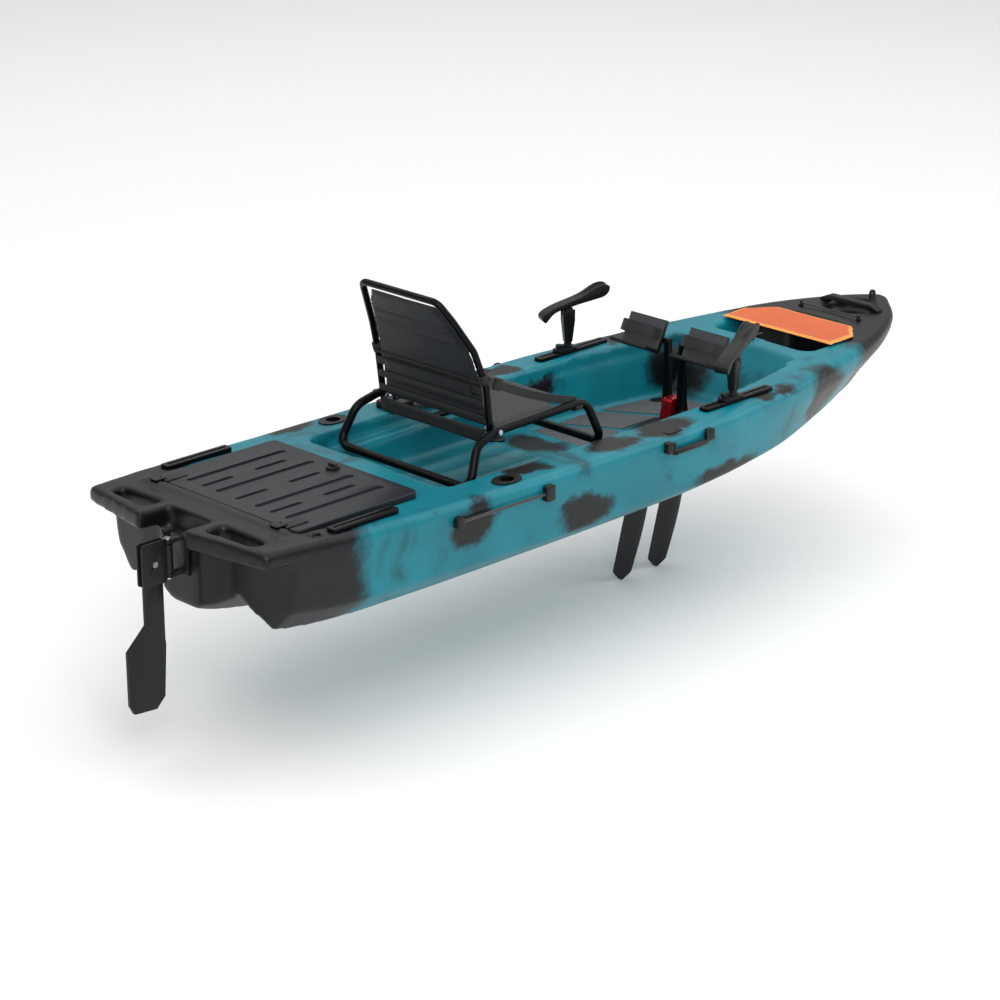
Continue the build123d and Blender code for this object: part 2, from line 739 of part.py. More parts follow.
# ---------------------------------------------------------------- tracks, screws, badges
TRACK_HEIGHT = 14.0
SLOT_WIDTH = 8.0
CHANNEL_WIDTH = 18.0
CHANNEL_HEIGHT = 6.0
LIP = 4.0              # thickness of the lips over the channel
SCREW_R = 2.5
SCREW_HOLE_R = 2.7


def track(length, x, y, z):
    """A T-slot gear track with countersunk screw holes through its floor."""
    top = z + TRACK_HEIGHT
    with BuildPart() as rail:
        with BuildSketch(Plane.XY.offset(z)) as base:
            with Locations((x, y)):
                Rectangle(length, TRACK_WIDTH)
            fillet(base.vertices(), radius=8.0)
        extrude(amount=TRACK_HEIGHT)
        chamfer(rail.faces().sort_by(Axis.Z)[-1].edges(), length=2.0)
        with BuildSketch(Plane.XY.offset(top)):
            with Locations((x, y)):
                Rectangle(length - 24.0, SLOT_WIDTH)
        extrude(amount=-LIP, mode=Mode.SUBTRACT)
        with BuildSketch(Plane.XY.offset(top - LIP)):
            with Locations((x, y)):
                Rectangle(length - 24.0, CHANNEL_WIDTH)
        extrude(amount=-CHANNEL_HEIGHT, mode=Mode.SUBTRACT)
        with BuildSketch(Plane.XY.offset(z)):
            with Locations(*[(x + k * (length / 2 - 30.0), y) for k in (-1, 0, 1)]):
                Circle(SCREW_HOLE_R)
        extrude(amount=TRACK_HEIGHT - LIP, mode=Mode.SUBTRACT)
    return rail.part


with BuildPart() as gear_tracks:
    add(track(TRACK_LENGTH, TRACK_X, TRACK_Y, TRACK_SEAT_Z))
    add(track(TRACK_LENGTH, TRACK_X, -TRACK_Y, TRACK_SEAT_Z))
save(gear_tracks.part, "gear_tracks")

with BuildPart() as stern_tracks:
    add(track(STERN_TRACK_LENGTH, STERN_TRACK_X, STERN_TRACK_Y, STERN_TRACK_SEAT_Z))
    add(track(STERN_TRACK_LENGTH, STERN_TRACK_X, -STERN_TRACK_Y, STERN_TRACK_SEAT_Z))
save(stern_tracks.part, "stern_tracks")

with BuildPart() as track_screws:
    for x, y, length, z in (
        (TRACK_X, TRACK_Y, TRACK_LENGTH, TRACK_SEAT_Z),
        (STERN_TRACK_X, STERN_TRACK_Y, STERN_TRACK_LENGTH, STERN_TRACK_SEAT_Z),
    ):
        channel_floor = z + TRACK_HEIGHT - LIP - CHANNEL_HEIGHT
        spots = [(x + k * (length / 2 - 30.0), side * y) for k in (-1, 0, 1) for side in (1, -1)]
        with BuildSketch(Plane.XY.offset(z)):
            with Locations(*spots):
                Circle(SCREW_R)
        extrude(amount=channel_floor - z)
        with BuildSketch(Plane.XY.offset(channel_floor)):
            with Locations(*spots):
                Circle(SCREW_R)
        extrude(amount=0.8)
save(track_screws.part, "track_screws")

with BuildPart() as badge_plates:
    with BuildSketch(Plane.XY.offset(BADGE_SEAT_Z)) as plate:
        with Locations((BADGE_X, BADGE_Y), (BADGE_X, -BADGE_Y)):
            Rectangle(60.0, 30.0)
        fillet(plate.vertices(), radius=4.0)
    extrude(amount=3.0)
save(badge_plates.part, "badge_plates")

# ---------------------------------------------------------------- flush rod holders
with BuildPart() as flush_rod_holders:
    for y in (FLUSH_Y, -FLUSH_Y):
        with BuildSketch(Plane.XY.offset(FLUSH_SEAT_Z)):
            with Locations((FLUSH_X, y)):
                Ellipse(50.0, 33.0)
        extrude(amount=6.0)
        with BuildSketch(lean_plane(y)):
            Circle(ROD_TUBE_R)
        extrude(amount=-FLUSH_DEPTH)
    for y in (FLUSH_Y, -FLUSH_Y):
        with BuildSketch(lean_plane(y).offset(20.0)):
            Circle(FLUSH_BORE_R)
        extrude(amount=-FLUSH_DEPTH - 16.0, mode=Mode.SUBTRACT)
    with BuildSketch(Plane.XY.offset(FLUSH_SEAT_Z + 6.0)):
        Rectangle(HULL_LENGTH, BEAM)
    extrude(amount=60.0, mode=Mode.SUBTRACT)
save(flush_rod_holders.part, "flush_rod_holders")


# ---------------------------------------------------------------- fittings on the hull's sides
CARRY_X = 75.0
CARRY_SPAN = 178.0
CARRY_Z = 158.0
KEEPER_FRONT = -503.0
KEEPER_REAR = -842.0
KEEPER_Z = 146.0
PIVOT_STAND = 10.2     # from the hull's side to the carry handle's pivot


def side_face(x):
    """Half breadth that the hull's side stays within for a hand's width on both sides of x."""
    return max(half_breadth(x - 20.0), half_breadth(x + 20.0))


keeper_runs = []
for side in (1, -1):
    ends = [Vector(x, side * (side_face(x) + 8.0), KEEPER_Z) for x in (KEEPER_REAR + 4.0, KEEPER_FRONT - 6.0)]
    keeper_runs.append(ends)
with BuildPart() as keeper_cords:
    for start, finish in keeper_runs:
        with BuildSketch(Plane(origin=start, z_dir=finish - start)):
            Circle(4.0)
        extrude(amount=(finish - start).length)
save(keeper_cords.part, "keeper_cords")

with BuildPart() as side_pads:
    for side in (1, -1):
        for x, z, length, height in (
            (CARRY_X - CARRY_SPAN / 2, CARRY_Z, 26.0, 34.0),
            (CARRY_X + CARRY_SPAN / 2, CARRY_Z, 26.0, 34.0),
            (KEEPER_FRONT, KEEPER_Z, 34.0, 46.0),
            (KEEPER_REAR, KEEPER_Z, 26.0, 30.0),
        ):
            root_y = side * (side_face(x) - 14.0)
            with BuildSketch(Plane.XZ.offset(-root_y)) as pad:
                with Locations((x, z)):
                    Rectangle(length, height)
                fillet(pad.vertices(), radius=6.0)
            extrude(amount=-side * (PIVOT_STAND + 19.0))
    for side in (1, -1):
        for x in (CARRY_X - CARRY_SPAN / 2, CARRY_X + CARRY_SPAN / 2):
            with BuildSketch(Plane.YZ.offset(x - 20.0)):
                with Locations((side * (side_face(CARRY_X) + PIVOT_STAND), CARRY_Z + 8.0)):
                    Circle(3.0 + RUN_FIT)
            extrude(amount=40.0, mode=Mode.SUBTRACT)
    add(outer_form, mode=Mode.SUBTRACT)
    add(keeper_cords.part, mode=Mode.SUBTRACT)
save(side_pads.part, "side_pads")


def carry_handle(side):
    """A grip on two arms, with a pin at each end that turns in its pad."""
    axis_y = side * (side_face(CARRY_X) + PIVOT_STAND)
    axis_z = CARRY_Z + 8.0
    inner = CARRY_SPAN / 2 - 13.0 - 1.0
    grip_z = axis_z - 26.0
    with BuildPart() as handle:
        for end in (1, -1):
            with BuildSketch(Plane.YZ.offset(CARRY_X + end * (inner - 8.0))) as arm:
                with Locations((axis_y, axis_z), (axis_y, grip_z)):
                    Circle(6.0)
                with Locations((axis_y, (axis_z + grip_z) / 2)):
                    Rectangle(12.0, axis_z - grip_z)
            extrude(amount=end * 8.0)
            with BuildSketch(Plane.YZ.offset(CARRY_X + end * inner)):
                with Locations((axis_y, axis_z)):
                    Circle(3.0)
            extrude(amount=end * 16.0)
        with BuildSketch(Plane.YZ.offset(CARRY_X - inner + 8.0)):
            with Locations((axis_y, grip_z)):
                Circle(9.0)
        extrude(amount=2 * (inner - 8.0))
    return handle.part


save(carry_handle(1), "carry_handle_port")
save(carry_handle(-1), "carry_handle_starboard")


# ---------------------------------------------------------------- track rod holders
HOLDER_X = 376.0
PORT_YAW = -26.0       # degrees that each cradle is swivelled at rest
STARBOARD_YAW = 16.0
CRADLE_TILT = 15.0
STUD_R = 6.0
FOOT_Z = TRACK_SEAT_Z + TRACK_HEIGHT + SLIP
POST_Z = FOOT_Z + 8.0 + SLIP
PIVOT_Z = POST_Z + 112.0
EAR_GAP = 16.0
EAR_THICK = 9.0
CRADLE_WIDTH = 44.0


def rod_foot(y):
    """The foot that slides in the track: T-nut, plate, swivel stud, and the knob that clamps it."""
    knob_x = HOLDER_X - 38.0
    with BuildPart() as foot:
        with BuildSketch(Plane.XY.offset(FOOT_Z)) as plate:
            with Locations((HOLDER_X - 12.0, y)):
                Rectangle(84.0, 38.0)
            fillet(plate.vertices(), radius=10.0)
        extrude(amount=8.0)
        with BuildSketch(Plane.XY.offset(FOOT_Z)):
            with Locations((HOLDER_X, y)):
                Rectangle(40.0, SLOT_WIDTH - 2 * SLIP)
        extrude(amount=-(LIP + 2 * SLIP))
        with BuildSketch(Plane.XY.offset(FOOT_Z - LIP - 2 * SLIP)):
            with Locations((HOLDER_X, y)):
                Rectangle(40.0, CHANNEL_WIDTH - 2 * SLIP)
        extrude(amount=-(CHANNEL_HEIGHT - 2.2))
        with BuildSketch(Plane.XY.offset(FOOT_Z + 8.0)):
            with Locations((HOLDER_X, y)):
                Circle(STUD_R)
        extrude(amount=18.0)
        with BuildSketch(Plane.XY.offset(FOOT_Z + 8.0)):
            with Locations((knob_x, y)):
                Circle(8.0)
        extrude(amount=5.0)
        with BuildSketch(Plane.XY.offset(FOOT_Z + 13.0)):
            with Locations((knob_x, y)):
                Circle(12.0)
        extrude(amount=9.0)
    return foot.part


def at_holder(part, y, yaw):
    """Place a piece drawn about the swivel axis at its track, turned to its rest angle."""
    return Pos(HOLDER_X, y, 0) * Rot(0, 0, yaw) * part


def rod_post():
    """The tapered post: a bore for the stud, two ears at its top and the pin between them."""
    neck_r = 12.0
    with BuildPart() as post:
        with BuildSketch(Plane.XY.offset(POST_Z)):
            Circle(17.0)
        extrude(amount=6.0)
        with BuildSketch(Plane.XY.offset(POST_Z + 6.0)):
            Circle(neck_r)
        extrude(amount=12.0)
        with BuildSketch(Plane.XY.offset(POST_Z + 18.0)) as low:
            Rectangle(26.0, 26.0)
            fillet(low.vertices(), radius=6.0)
        with BuildSketch(Plane.XY.offset(PIVOT_Z - 24.0)) as high:
            Rectangle(40.0, EAR_GAP + 2 * EAR_THICK)
            fillet(high.vertices(), radius=6.0)
        loft(sections=[low.sketch, high.sketch])
        with BuildSketch(Plane.XZ.offset(-(EAR_GAP / 2 + EAR_THICK))):
            with Locations((0, PIVOT_Z)):
                Circle(17.0)
            with Locations((0, PIVOT_Z - 13.0)):
                Rectangle(34.0, 26.0)
        extrude(amount=EAR_GAP + 2 * EAR_THICK)
        with BuildSketch(Plane.XZ.offset(-(EAR_GAP / 2 + SLIP))):
            with Locations((0, PIVOT_Z)):
                Circle(21.0)
            with Locations((0, PIVOT_Z + 12.0)):
                Rectangle(42.0, 30.0)
        extrude(amount=EAR_GAP + 2 * SLIP, mode=Mode.SUBTRACT)
        with BuildSketch(Plane.XZ.offset(-(EAR_GAP / 2 + EAR_THICK + 5.0))):
            with Locations((0, PIVOT_Z)):
                Circle(5.0)
        extrude(amount=EAR_GAP + 2 * EAR_THICK + 10.0)
        with BuildSketch(Plane.XY.offset(POST_Z)):
            Circle(STUD_R + RUN_FIT)
        extrude(amount=20.0, mode=Mode.SUBTRACT)
    return post.part


def rod_cradle():
    """The cradle: a trough for the rod's butt on a lug that tilts on the post's pin."""
    with BuildPart() as cradle:
        with BuildSketch(Plane.XZ.offset(-CRADLE_WIDTH / 2)) as side:
            with BuildLine():
                Spline(
                    (-88.0, 2.0), (-90.0, 18.0), (-60.0, 32.0), (0.0, 37.0), (70.0, 44.0), (130.0, 52.0),
                    (146.0, 42.0), (138.0, 24.0), (100.0, 16.0), (40.0, 20.0), (0.0, 21.0), (-50.0, 18.0),
                    (-74.0, 4.0),
                    periodic=True,
                )
            make_face()
        extrude(amount=CRADLE_WIDTH)
        with BuildSketch(Plane.YZ.offset(-95.0)):
            with Locations((0, 52.0)):
                Circle(16.0)
            with Locations((0, 66.0)):
                Rectangle(32.0, 28.0)
        extrude(amount=260.0, mode=Mode.SUBTRACT)
        with BuildSketch(Plane.XZ.offset(-EAR_GAP / 2)):
            Circle(14.0)
            with Locations((0, 14.0)):
                Rectangle(26.0, 22.0)
        extrude(amount=EAR_GAP)
        with BuildSketch(Plane.XZ.offset(-EAR_GAP)):
            Circle(5.0 + RUN_FIT)
        extrude(amount=2 * EAR_GAP, mode=Mode.SUBTRACT)
    return Pos(0, 0, PIVOT_Z) * Rot(0, -CRADLE_TILT, 0) * cradle.part


for name, y, yaw in (("port", TRACK_Y, PORT_YAW), ("starboard", -TRACK_Y, STARBOARD_YAW)):
    save(rod_foot(y), "rod_foot_" + name)
    save(at_holder(rod_post(), y, yaw), "rod_post_" + name)
    save(at_holder(rod_cradle(), y, yaw), "rod_cradle_" + name)

# ---------------------------------------------------------------- seat
RAIL_Y = HALF_B - SIDE_DECK - 22.0
RAIL_HEIGHT = 10.0
RAIL_FRONT = 45.0
RAIL_REAR = -305.0
with BuildPart() as seat_rails:
    with BuildSketch(Plane.XY.offset(LEDGE_Z)) as rail_plan:
        with Locations(((RAIL_FRONT + RAIL_REAR) / 2, RAIL_Y), ((RAIL_FRONT + RAIL_REAR) / 2, -RAIL_Y)):
            Rectangle(RAIL_FRONT - RAIL_REAR, 26.0)
        fillet(rail_plan.vertices(), radius=8.0)
    extrude(amount=RAIL_HEIGHT)
save(seat_rails.part, "seat_rails")

SEAT_X = -121.0                        # the front foot tube
PAN_Z = 288.0
PAN_HALF = RAIL_Y - 34.0               # the side tubes, half way apart
BACK_X = SEAT_X - SEAT_DEPTH           # the back's pivot
BACK_PIVOT_Z = PAN_Z - 3.0
FRONT_FOOT_Z = LEDGE_Z + RAIL_HEIGHT + SEAT_TUBE_R + SLIP
REAR_FOOT_Z = LEDGE_Z + SEAT_TUBE_R + SLIP
BACK_TUBE_R = 10.0
BACK_HALF = PAN_HALF - SEAT_TUBE_R - BACK_TUBE_R - 2.0
BOLT_R = 4.0
TUBE_WALL = 1.6


def half_frame(points, radii, outer, side):
    """Half of a bent tube frame: a ring swept along the points on one side of the boat."""
    route = [(x, side * y, z) for x, y, z in points]
    with BuildPart() as tube:
        with BuildLine() as path:
            FilletPolyline(*route, radius=radii)
        with BuildSketch(Plane(origin=path.line @ 0, z_dir=path.line % 0)):
            Circle(outer)
            Circle(outer - TUBE_WALL, mode=Mode.SUBTRACT)
        sweep()
    return tube.part


seat_route = [
    (SEAT_X, 0.0, FRONT_FOOT_Z),
    (SEAT_X, RAIL_Y, FRONT_FOOT_Z),
    (SEAT_X - 42.0, PAN_HALF + 3.0, PAN_Z + 4.0),
    (BACK_X, PAN_HALF, PAN_Z - 3.0),
    (BACK_X - 82.0, PAN_HALF + 6.0, PAN_Z - 24.0),
    (BACK_X - 132.0, RAIL_Y - 6.0, REAR_FOOT_Z),
    (BACK_X - 132.0, 0.0, REAR_FOOT_Z),
]
seat_radii = [34.0, 50.0, 120.0, 55.0, 34.0]
seat_bolt_holes = Pos(BACK_X, 0, BACK_PIVOT_Z) * Rot(90, 0, 0) * Cylinder(BOLT_R + RUN_FIT, 2 * RAIL_Y)
with BuildPart() as seat_frame:
    add(half_frame(seat_route, seat_radii, SEAT_TUBE_R, 1))
    add(half_frame(seat_route, seat_radii, SEAT_TUBE_R, -1))
    add(seat_bolt_holes, mode=Mode.SUBTRACT)
save(seat_frame.part, "seat_frame")

back_curve = [(0.0, BACK_HALF, -22.0), (-18.0, BACK_HALF + 2.0, 130.0), (-52.0, BACK_HALF - 12.0, 235.0),
              (-102.0, BACK_HALF - 42.0, 325.0), (-138.0, BACK_HALF - 66.0, 383.0), (-138.0, 0.0, 383.0)]
back_route = [(BACK_X + x, y, BACK_PIVOT_Z + z) for x, y, z in back_curve]
with BuildPart() as back_frame:
    add(half_frame(back_route, [90.0, 90.0, 90.0, 30.0], BACK_TUBE_R, 1))
    add(half_frame(back_route, [90.0, 90.0, 90.0, 30.0], BACK_TUBE_R, -1))
    add(seat_bolt_holes, mode=Mode.SUBTRACT)
save(back_frame.part, "back_frame")

with BuildPart() as seat_bolts:
    for side in (1, -1):
        inner = BACK_HALF - BACK_TUBE_R - 6.0
        outer = PAN_HALF + SEAT_TUBE_R + 6.5
        with BuildSketch(Plane.XZ.offset(-side * inner)):
            with Locations((BACK_X, BACK_PIVOT_Z)):
                Circle(BOLT_R)
        extrude(amount=-side * (outer - inner))
        for start, run in ((inner, 5.0), (outer, -4.5)):
            with BuildSketch(Plane.XZ.offset(-side * start)):
                with Locations((BACK_X, BACK_PIVOT_Z)):
                    RegularPolygon(7.5, 6)
            extrude(amount=-side * run)
save(seat_bolts.part, "seat_bolts")

PAN_THICK = 10.0
PAN_FRONT = SEAT_X - 46.0
PAN_REAR = BACK_X + BACK_TUBE_R + 6.0
pan_half_width = PAN_HALF - SEAT_TUBE_R - 0.4
with BuildPart() as seat_cloth:
    with BuildSketch(Plane.XY.offset(PAN_Z - 6.0 - PAN_THICK / 2)) as pan:
        with Locations(((PAN_FRONT + PAN_REAR) / 2, 0)):
            Rectangle(PAN_FRONT - PAN_REAR, 2 * pan_half_width)
        with Locations((PAN_FRONT - 38.0, pan_half_width - 38.0), (PAN_FRONT - 38.0, 38.0 - pan_half_width)):
            Circle(34.0, mode=Mode.SUBTRACT)
    extrude(amount=PAN_THICK)
save(seat_cloth.part, "seat_cloth")

BACK_THICK = 6.0


def back_band(low, high, offset_back, thick):
    """A band that follows the back's side curve between two heights, wide enough for any trim."""
    spine = [(x, z) for x, _, z in back_curve[:-1]]
    inside = [point for point in spine if low < point[1] < high]

    def on_spine(z):
        for (x1, z1), (x2, z2) in zip(spine, spine[1:]):
            if z1 <= z <= z2:
                return x1 + (x2 - x1) * (z - z1) / (z2 - z1), z
        return spine[-1]

    line = [on_spine(low)] + inside + [on_spine(high)]
    front = [(BACK_X + x - offset_back + thick / 2, BACK_PIVOT_Z + z) for x, z in line]
    rear = [(BACK_X + x - offset_back - thick / 2, BACK_PIVOT_Z + z) for x, z in reversed(line)]
    with BuildPart() as band:
        with BuildSketch(Plane.XZ.offset(-BEAM / 2)):
            with BuildLine():
                Polyline(*front, *rear, close=True)
            make_face()
        extrude(amount=BEAM)
    return band.part


def trimmed(band, outline):
    """The part of a band inside an outline drawn in the (y, z) plane."""
    with BuildPart() as trim:
        with BuildSketch(Plane.YZ.offset(BACK_X - 300.0)):
            with BuildLine():
                Polyline(*outline, close=True)
            make_face()
        extrude(amount=500.0)
    return band & trim.part


inset = BACK_TUBE_R + 1.5
back_side = [(y - inset, BACK_PIVOT_Z + z) for _, y, z in back_curve[:-1]]
back_side[0] = (back_side[0][0], BACK_PIVOT_Z + 14.0)
back_side[-1] = (back_side[-1][0] - 10.0, BACK_PIVOT_Z + 368.0)
back_outline = back_side + [(-y, z) for y, z in reversed(back_side)]
save(trimmed(back_band(14.0, 368.0, 0.0, BACK_THICK), back_outline), "back_cloth")

POCKET_LOW = -48.0
POCKET_HIGH = 146.0
pocket_half = BACK_HALF - 4.0
pocket_outline = [
    (pocket_half, BACK_PIVOT_Z + POCKET_LOW),
    (pocket_half, BACK_PIVOT_Z + POCKET_HIGH),
    (-pocket_half, BACK_PIVOT_Z + POCKET_HIGH),
    (-pocket_half, BACK_PIVOT_Z + POCKET_LOW),
]
pocket_low_band = back_band(-22.0, POCKET_HIGH, BACK_TUBE_R + 2.6, 3.0)
with BuildPart() as pocket_tail:
    with BuildSketch(Plane.XY.offset(BACK_PIVOT_Z + POCKET_LOW)):
        with Locations((BACK_X - BACK_TUBE_R - 2.6, 0)):
            Rectangle(3.0, 2 * pocket_half)
    extrude(amount=-22.0 - POCKET_LOW)
with BuildPart() as back_pocket:
    add(trimmed(pocket_low_band, pocket_outline))
    add(pocket_tail.part)
save(back_pocket.part, "back_pocket")

STRAP_WIDTH = 25.0
STRAP_THICK = 2.5
with BuildPart() as seat_straps:
    for side in (1, -1):
        start = Vector(BACK_X - 22.0, side * (BACK_HALF + BACK_TUBE_R + 4.0), BACK_PIVOT_Z + 152.0)
        finish = Vector(SEAT_X - 52.0, side * (PAN_HALF + 3.0), PAN_Z + 32.0)
        with BuildSketch(Plane(origin=start, x_dir=(0, 1, 0), z_dir=finish - start)):
            Rectangle(STRAP_THICK, STRAP_WIDTH)
        extrude(amount=(finish - start).length)
save(seat_straps.part, "seat_straps")

# ---------------------------------------------------------------- stern hatch
LID_FRONT = HATCH_FRONT - SEAM
LID_REAR = HATCH_REAR - SEAM
LID_HALF = HATCH_WIDTH / 2
SEAL_HEIGHT = 3.7
LID_Z = HATCH_SEAT_Z + SEAL_HEIGHT + SLIP
LID_THICK = 20.0
LID_TOP = LID_Z + LID_THICK
GROOVE_DEPTH = 6.0
HINGE_X = LID_REAR - 6.0
HINGE_Z = LID_TOP + 7.0
HINGE_Y = 252.0
HINGE_WIDTH = 33.0
KNUCKLE_R = 6.0
PIN_R = 2.5
LATCH_X = HATCH_FRONT - HOLD_RIM - 18.0
SPINDLE_R = 5.0

with BuildPart() as hatch_seal:
    with BuildSketch(Plane.XY.offset(HATCH_SEAT_Z)) as ring:
        with Locations(((LID_FRONT + LID_REAR) / 2, 0)):
            Rectangle(LID_FRONT - LID_REAR - 12.0, 2 * LID_HALF - 12.0)
        fillet(ring.vertices(), radius=22.0)
        offset(amount=-14.0, mode=Mode.SUBTRACT)
    extrude(amount=SEAL_HEIGHT)
save(hatch_seal.part, "hatch_seal")

with BuildPart() as hatch_lid:
    with BuildSketch(Plane.XY.offset(LID_Z)) as lid:
        with Locations(((LID_FRONT + LID_REAR) / 2, 0)):
            Rectangle(LID_FRONT - LID_REAR, 2 * LID_HALF)
        fillet(lid.vertices(), radius=22.0)
    extrude(amount=LID_THICK)
    fillet(hatch_lid.edges().group_by(Axis.Z)[-1], radius=4.0)
    with BuildSketch(Plane.XY.offset(LID_TOP - GROOVE_DEPTH)):
        with Locations(*[((LID_FRONT + LID_REAR) / 2, y) for y in (-205.0, -82.0, 82.0, 205.0)]):
            SlotOverall(LID_FRONT - LID_REAR - 90.0, 20.0)
        with Locations(*[(x, y) for y in (-143.0, 0.0, 143.0) for x in (LID_FRONT - 150.0, LID_REAR + 100.0)]):
            SlotOverall(110.0, 16.0)
    extrude(amount=GROOVE_DEPTH, mode=Mode.SUBTRACT)
    with BuildSketch(Plane.XY.offset(LID_Z)):
        with Locations((LATCH_X, 0)):
            Circle(SPINDLE_R + RUN_FIT)
    extrude(amount=LID_THICK, mode=Mode.SUBTRACT)
save(hatch_lid.part, "hatch_lid")


def knuckles(spans, leaf_front, leaf_rear, leaf_z):
    """Hinge leaves on both sides of the boat, with knuckles over the spans about each hinge's middle."""
    with BuildPart() as hinge:
        for y in (HINGE_Y, -HINGE_Y):
            with BuildSketch(Plane.XY.offset(leaf_z)):
                with Locations(((leaf_front + leaf_rear) / 2, y)):
                    Rectangle(leaf_front - leaf_rear, HINGE_WIDTH)
            extrude(amount=3.0)
            for low, high in spans:
                with BuildSketch(Plane.XZ.offset(-(y + high))):
                    with Locations((HINGE_X, HINGE_Z)):
                        Circle(KNUCKLE_R)
                    near = min(abs(leaf_front - HINGE_X), abs(leaf_rear - HINGE_X))
                    toward = 1 if leaf_rear > HINGE_X else -1
                    with Locations((HINGE_X + toward * near / 2, leaf_z + 1.5)):
                        Rectangle(near + 4.0, 3.0)
                extrude(amount=high - low)
        with BuildSketch(Plane.XZ.offset(-BEAM / 2)):
            with Locations((HINGE_X, HINGE_Z)):
                Circle(PIN_R + RUN_FIT)
        extrude(amount=BEAM, mode=Mode.SUBTRACT)
    return hinge.part


save(knuckles([(-5.0, 5.0)], LID_REAR + 70.0, HINGE_X + KNUCKLE_R + 1.0, LID_TOP), "hatch_hinges")
outer_spans = [(-HINGE_WIDTH / 2, -5.0 - SLIP), (5.0 + SLIP, HINGE_WIDTH / 2)]
save(knuckles(outer_spans, HINGE_X - KNUCKLE_R - 1.0, STERN_BAR_X - 13.0, STERN_BAR_Z), "hinge_brackets")

with BuildPart() as hatch_hinge_pins:
    for y in (HINGE_Y, -HINGE_Y):
        with BuildSketch(Plane.XZ.offset(-(y + HINGE_WIDTH / 2 + 2.0))):
            with Locations((HINGE_X, HINGE_Z)):
                Circle(PIN_R)
        extrude(amount=HINGE_WIDTH + 4.0)
        for start, run in ((y + HINGE_WIDTH / 2 + 2.0, 2.0), (y - HINGE_WIDTH / 2, 2.0)):
            with BuildSketch(Plane.XZ.offset(-start)):
                with Locations((HINGE_X, HINGE_Z)):
                    Circle(PIN_R + 1.5)
            extrude(amount=run)
save(hatch_hinge_pins.part, "hatch_hinge_pins")

TONGUE_TOP = HATCH_SEAT_Z - WALL - 1.0
with BuildPart() as hatch_latch:
    with BuildSketch(Plane.XY.offset(LID_TOP + SLIP)):
        with Locations((LATCH_X, 0)):
            Circle(20.0)
    extrude(amount=5.0)
    with BuildSketch(Plane.XY.offset(LID_TOP + SLIP)):
        with Locations((LATCH_X, 0)):
            SlotOverall(34.0, 9.0, rotation=90)
    extrude(amount=14.0)
    with BuildSketch(Plane.XY.offset(TONGUE_TOP - 6.0)):
        with Locations((LATCH_X, 0)):
            Circle(SPINDLE_R)
    extrude(amount=LID_TOP + SLIP + 2.0 - TONGUE_TOP + 6.0)
    with BuildSketch(Plane.XY.offset(TONGUE_TOP - 6.0)):
        with Locations((LATCH_X, 0)):
            Circle(8.0)
        with Locations((LATCH_X, 19.0)):
            Rectangle(14.0, 38.0)
    extrude(amount=6.0)
save(hatch_latch.part, "hatch_latch")

# ---------------------------------------------------------------- rudder
PINTLE_X = TRANSOM_X - 45.0
PINTLE_R = 6.0
LUG_TOP = 152.0        # undersides of the two lugs
LUG_LOW = 56.0
LUG_THICK = 12.0
LUG_R = 11.0
BLADE_THICK = 14.0
BLADE_PIVOT_X = PINTLE_X - 55.0
BLADE_PIVOT_Z = 110.0
SHANK_HALF = 31.0
RUDDER_BOLT_R = 5.0

with BuildPart() as rudder_bracket:
    with BuildSketch(Plane.YZ.offset(TRANSOM_X - 6.0)) as plate:
        with Locations((0, (LUG_LOW + LUG_TOP + LUG_THICK) / 2)):
            Rectangle(70.0, LUG_TOP + LUG_THICK - LUG_LOW + 4.0)
        fillet(plate.vertices(), radius=8.0)
    extrude(amount=6.0)
    for z in (LUG_TOP, LUG_LOW):
        with BuildSketch(Plane.XY.offset(z)):
            with Locations((PINTLE_X, 0)):
                Circle(LUG_R)
            with Locations(((PINTLE_X + TRANSOM_X - 3.0) / 2, 0)):
                Rectangle(TRANSOM_X - 3.0 - PINTLE_X, 2 * LUG_R)
        extrude(amount=LUG_THICK)
    with BuildSketch(Plane.XY.offset(LUG_LOW - 10.0)):
        with Locations((PINTLE_X, 0)):
            Circle(PINTLE_R + RUN_FIT)
    extrude(amount=LUG_TOP + LUG_THICK + 20.0, mode=Mode.SUBTRACT)
save(rudder_bracket.part, "rudder_bracket")

with BuildPart() as rudder_pin:
    with BuildSketch(Plane.XY.offset(LUG_LOW - 4.0)):
        with Locations((PINTLE_X, 0)):
            Circle(PINTLE_R)
    extrude(amount=LUG_TOP + LUG_THICK - LUG_LOW + 8.0)
    for z in (LUG_LOW - 4.0, LUG_TOP + LUG_THICK):
        with BuildSketch(Plane.XY.offset(z)):
            with Locations((PINTLE_X, 0)):
                Circle(PINTLE_R + 3.0)
        extrude(amount=4.0)
save(rudder_pin.part, "rudder_pin")

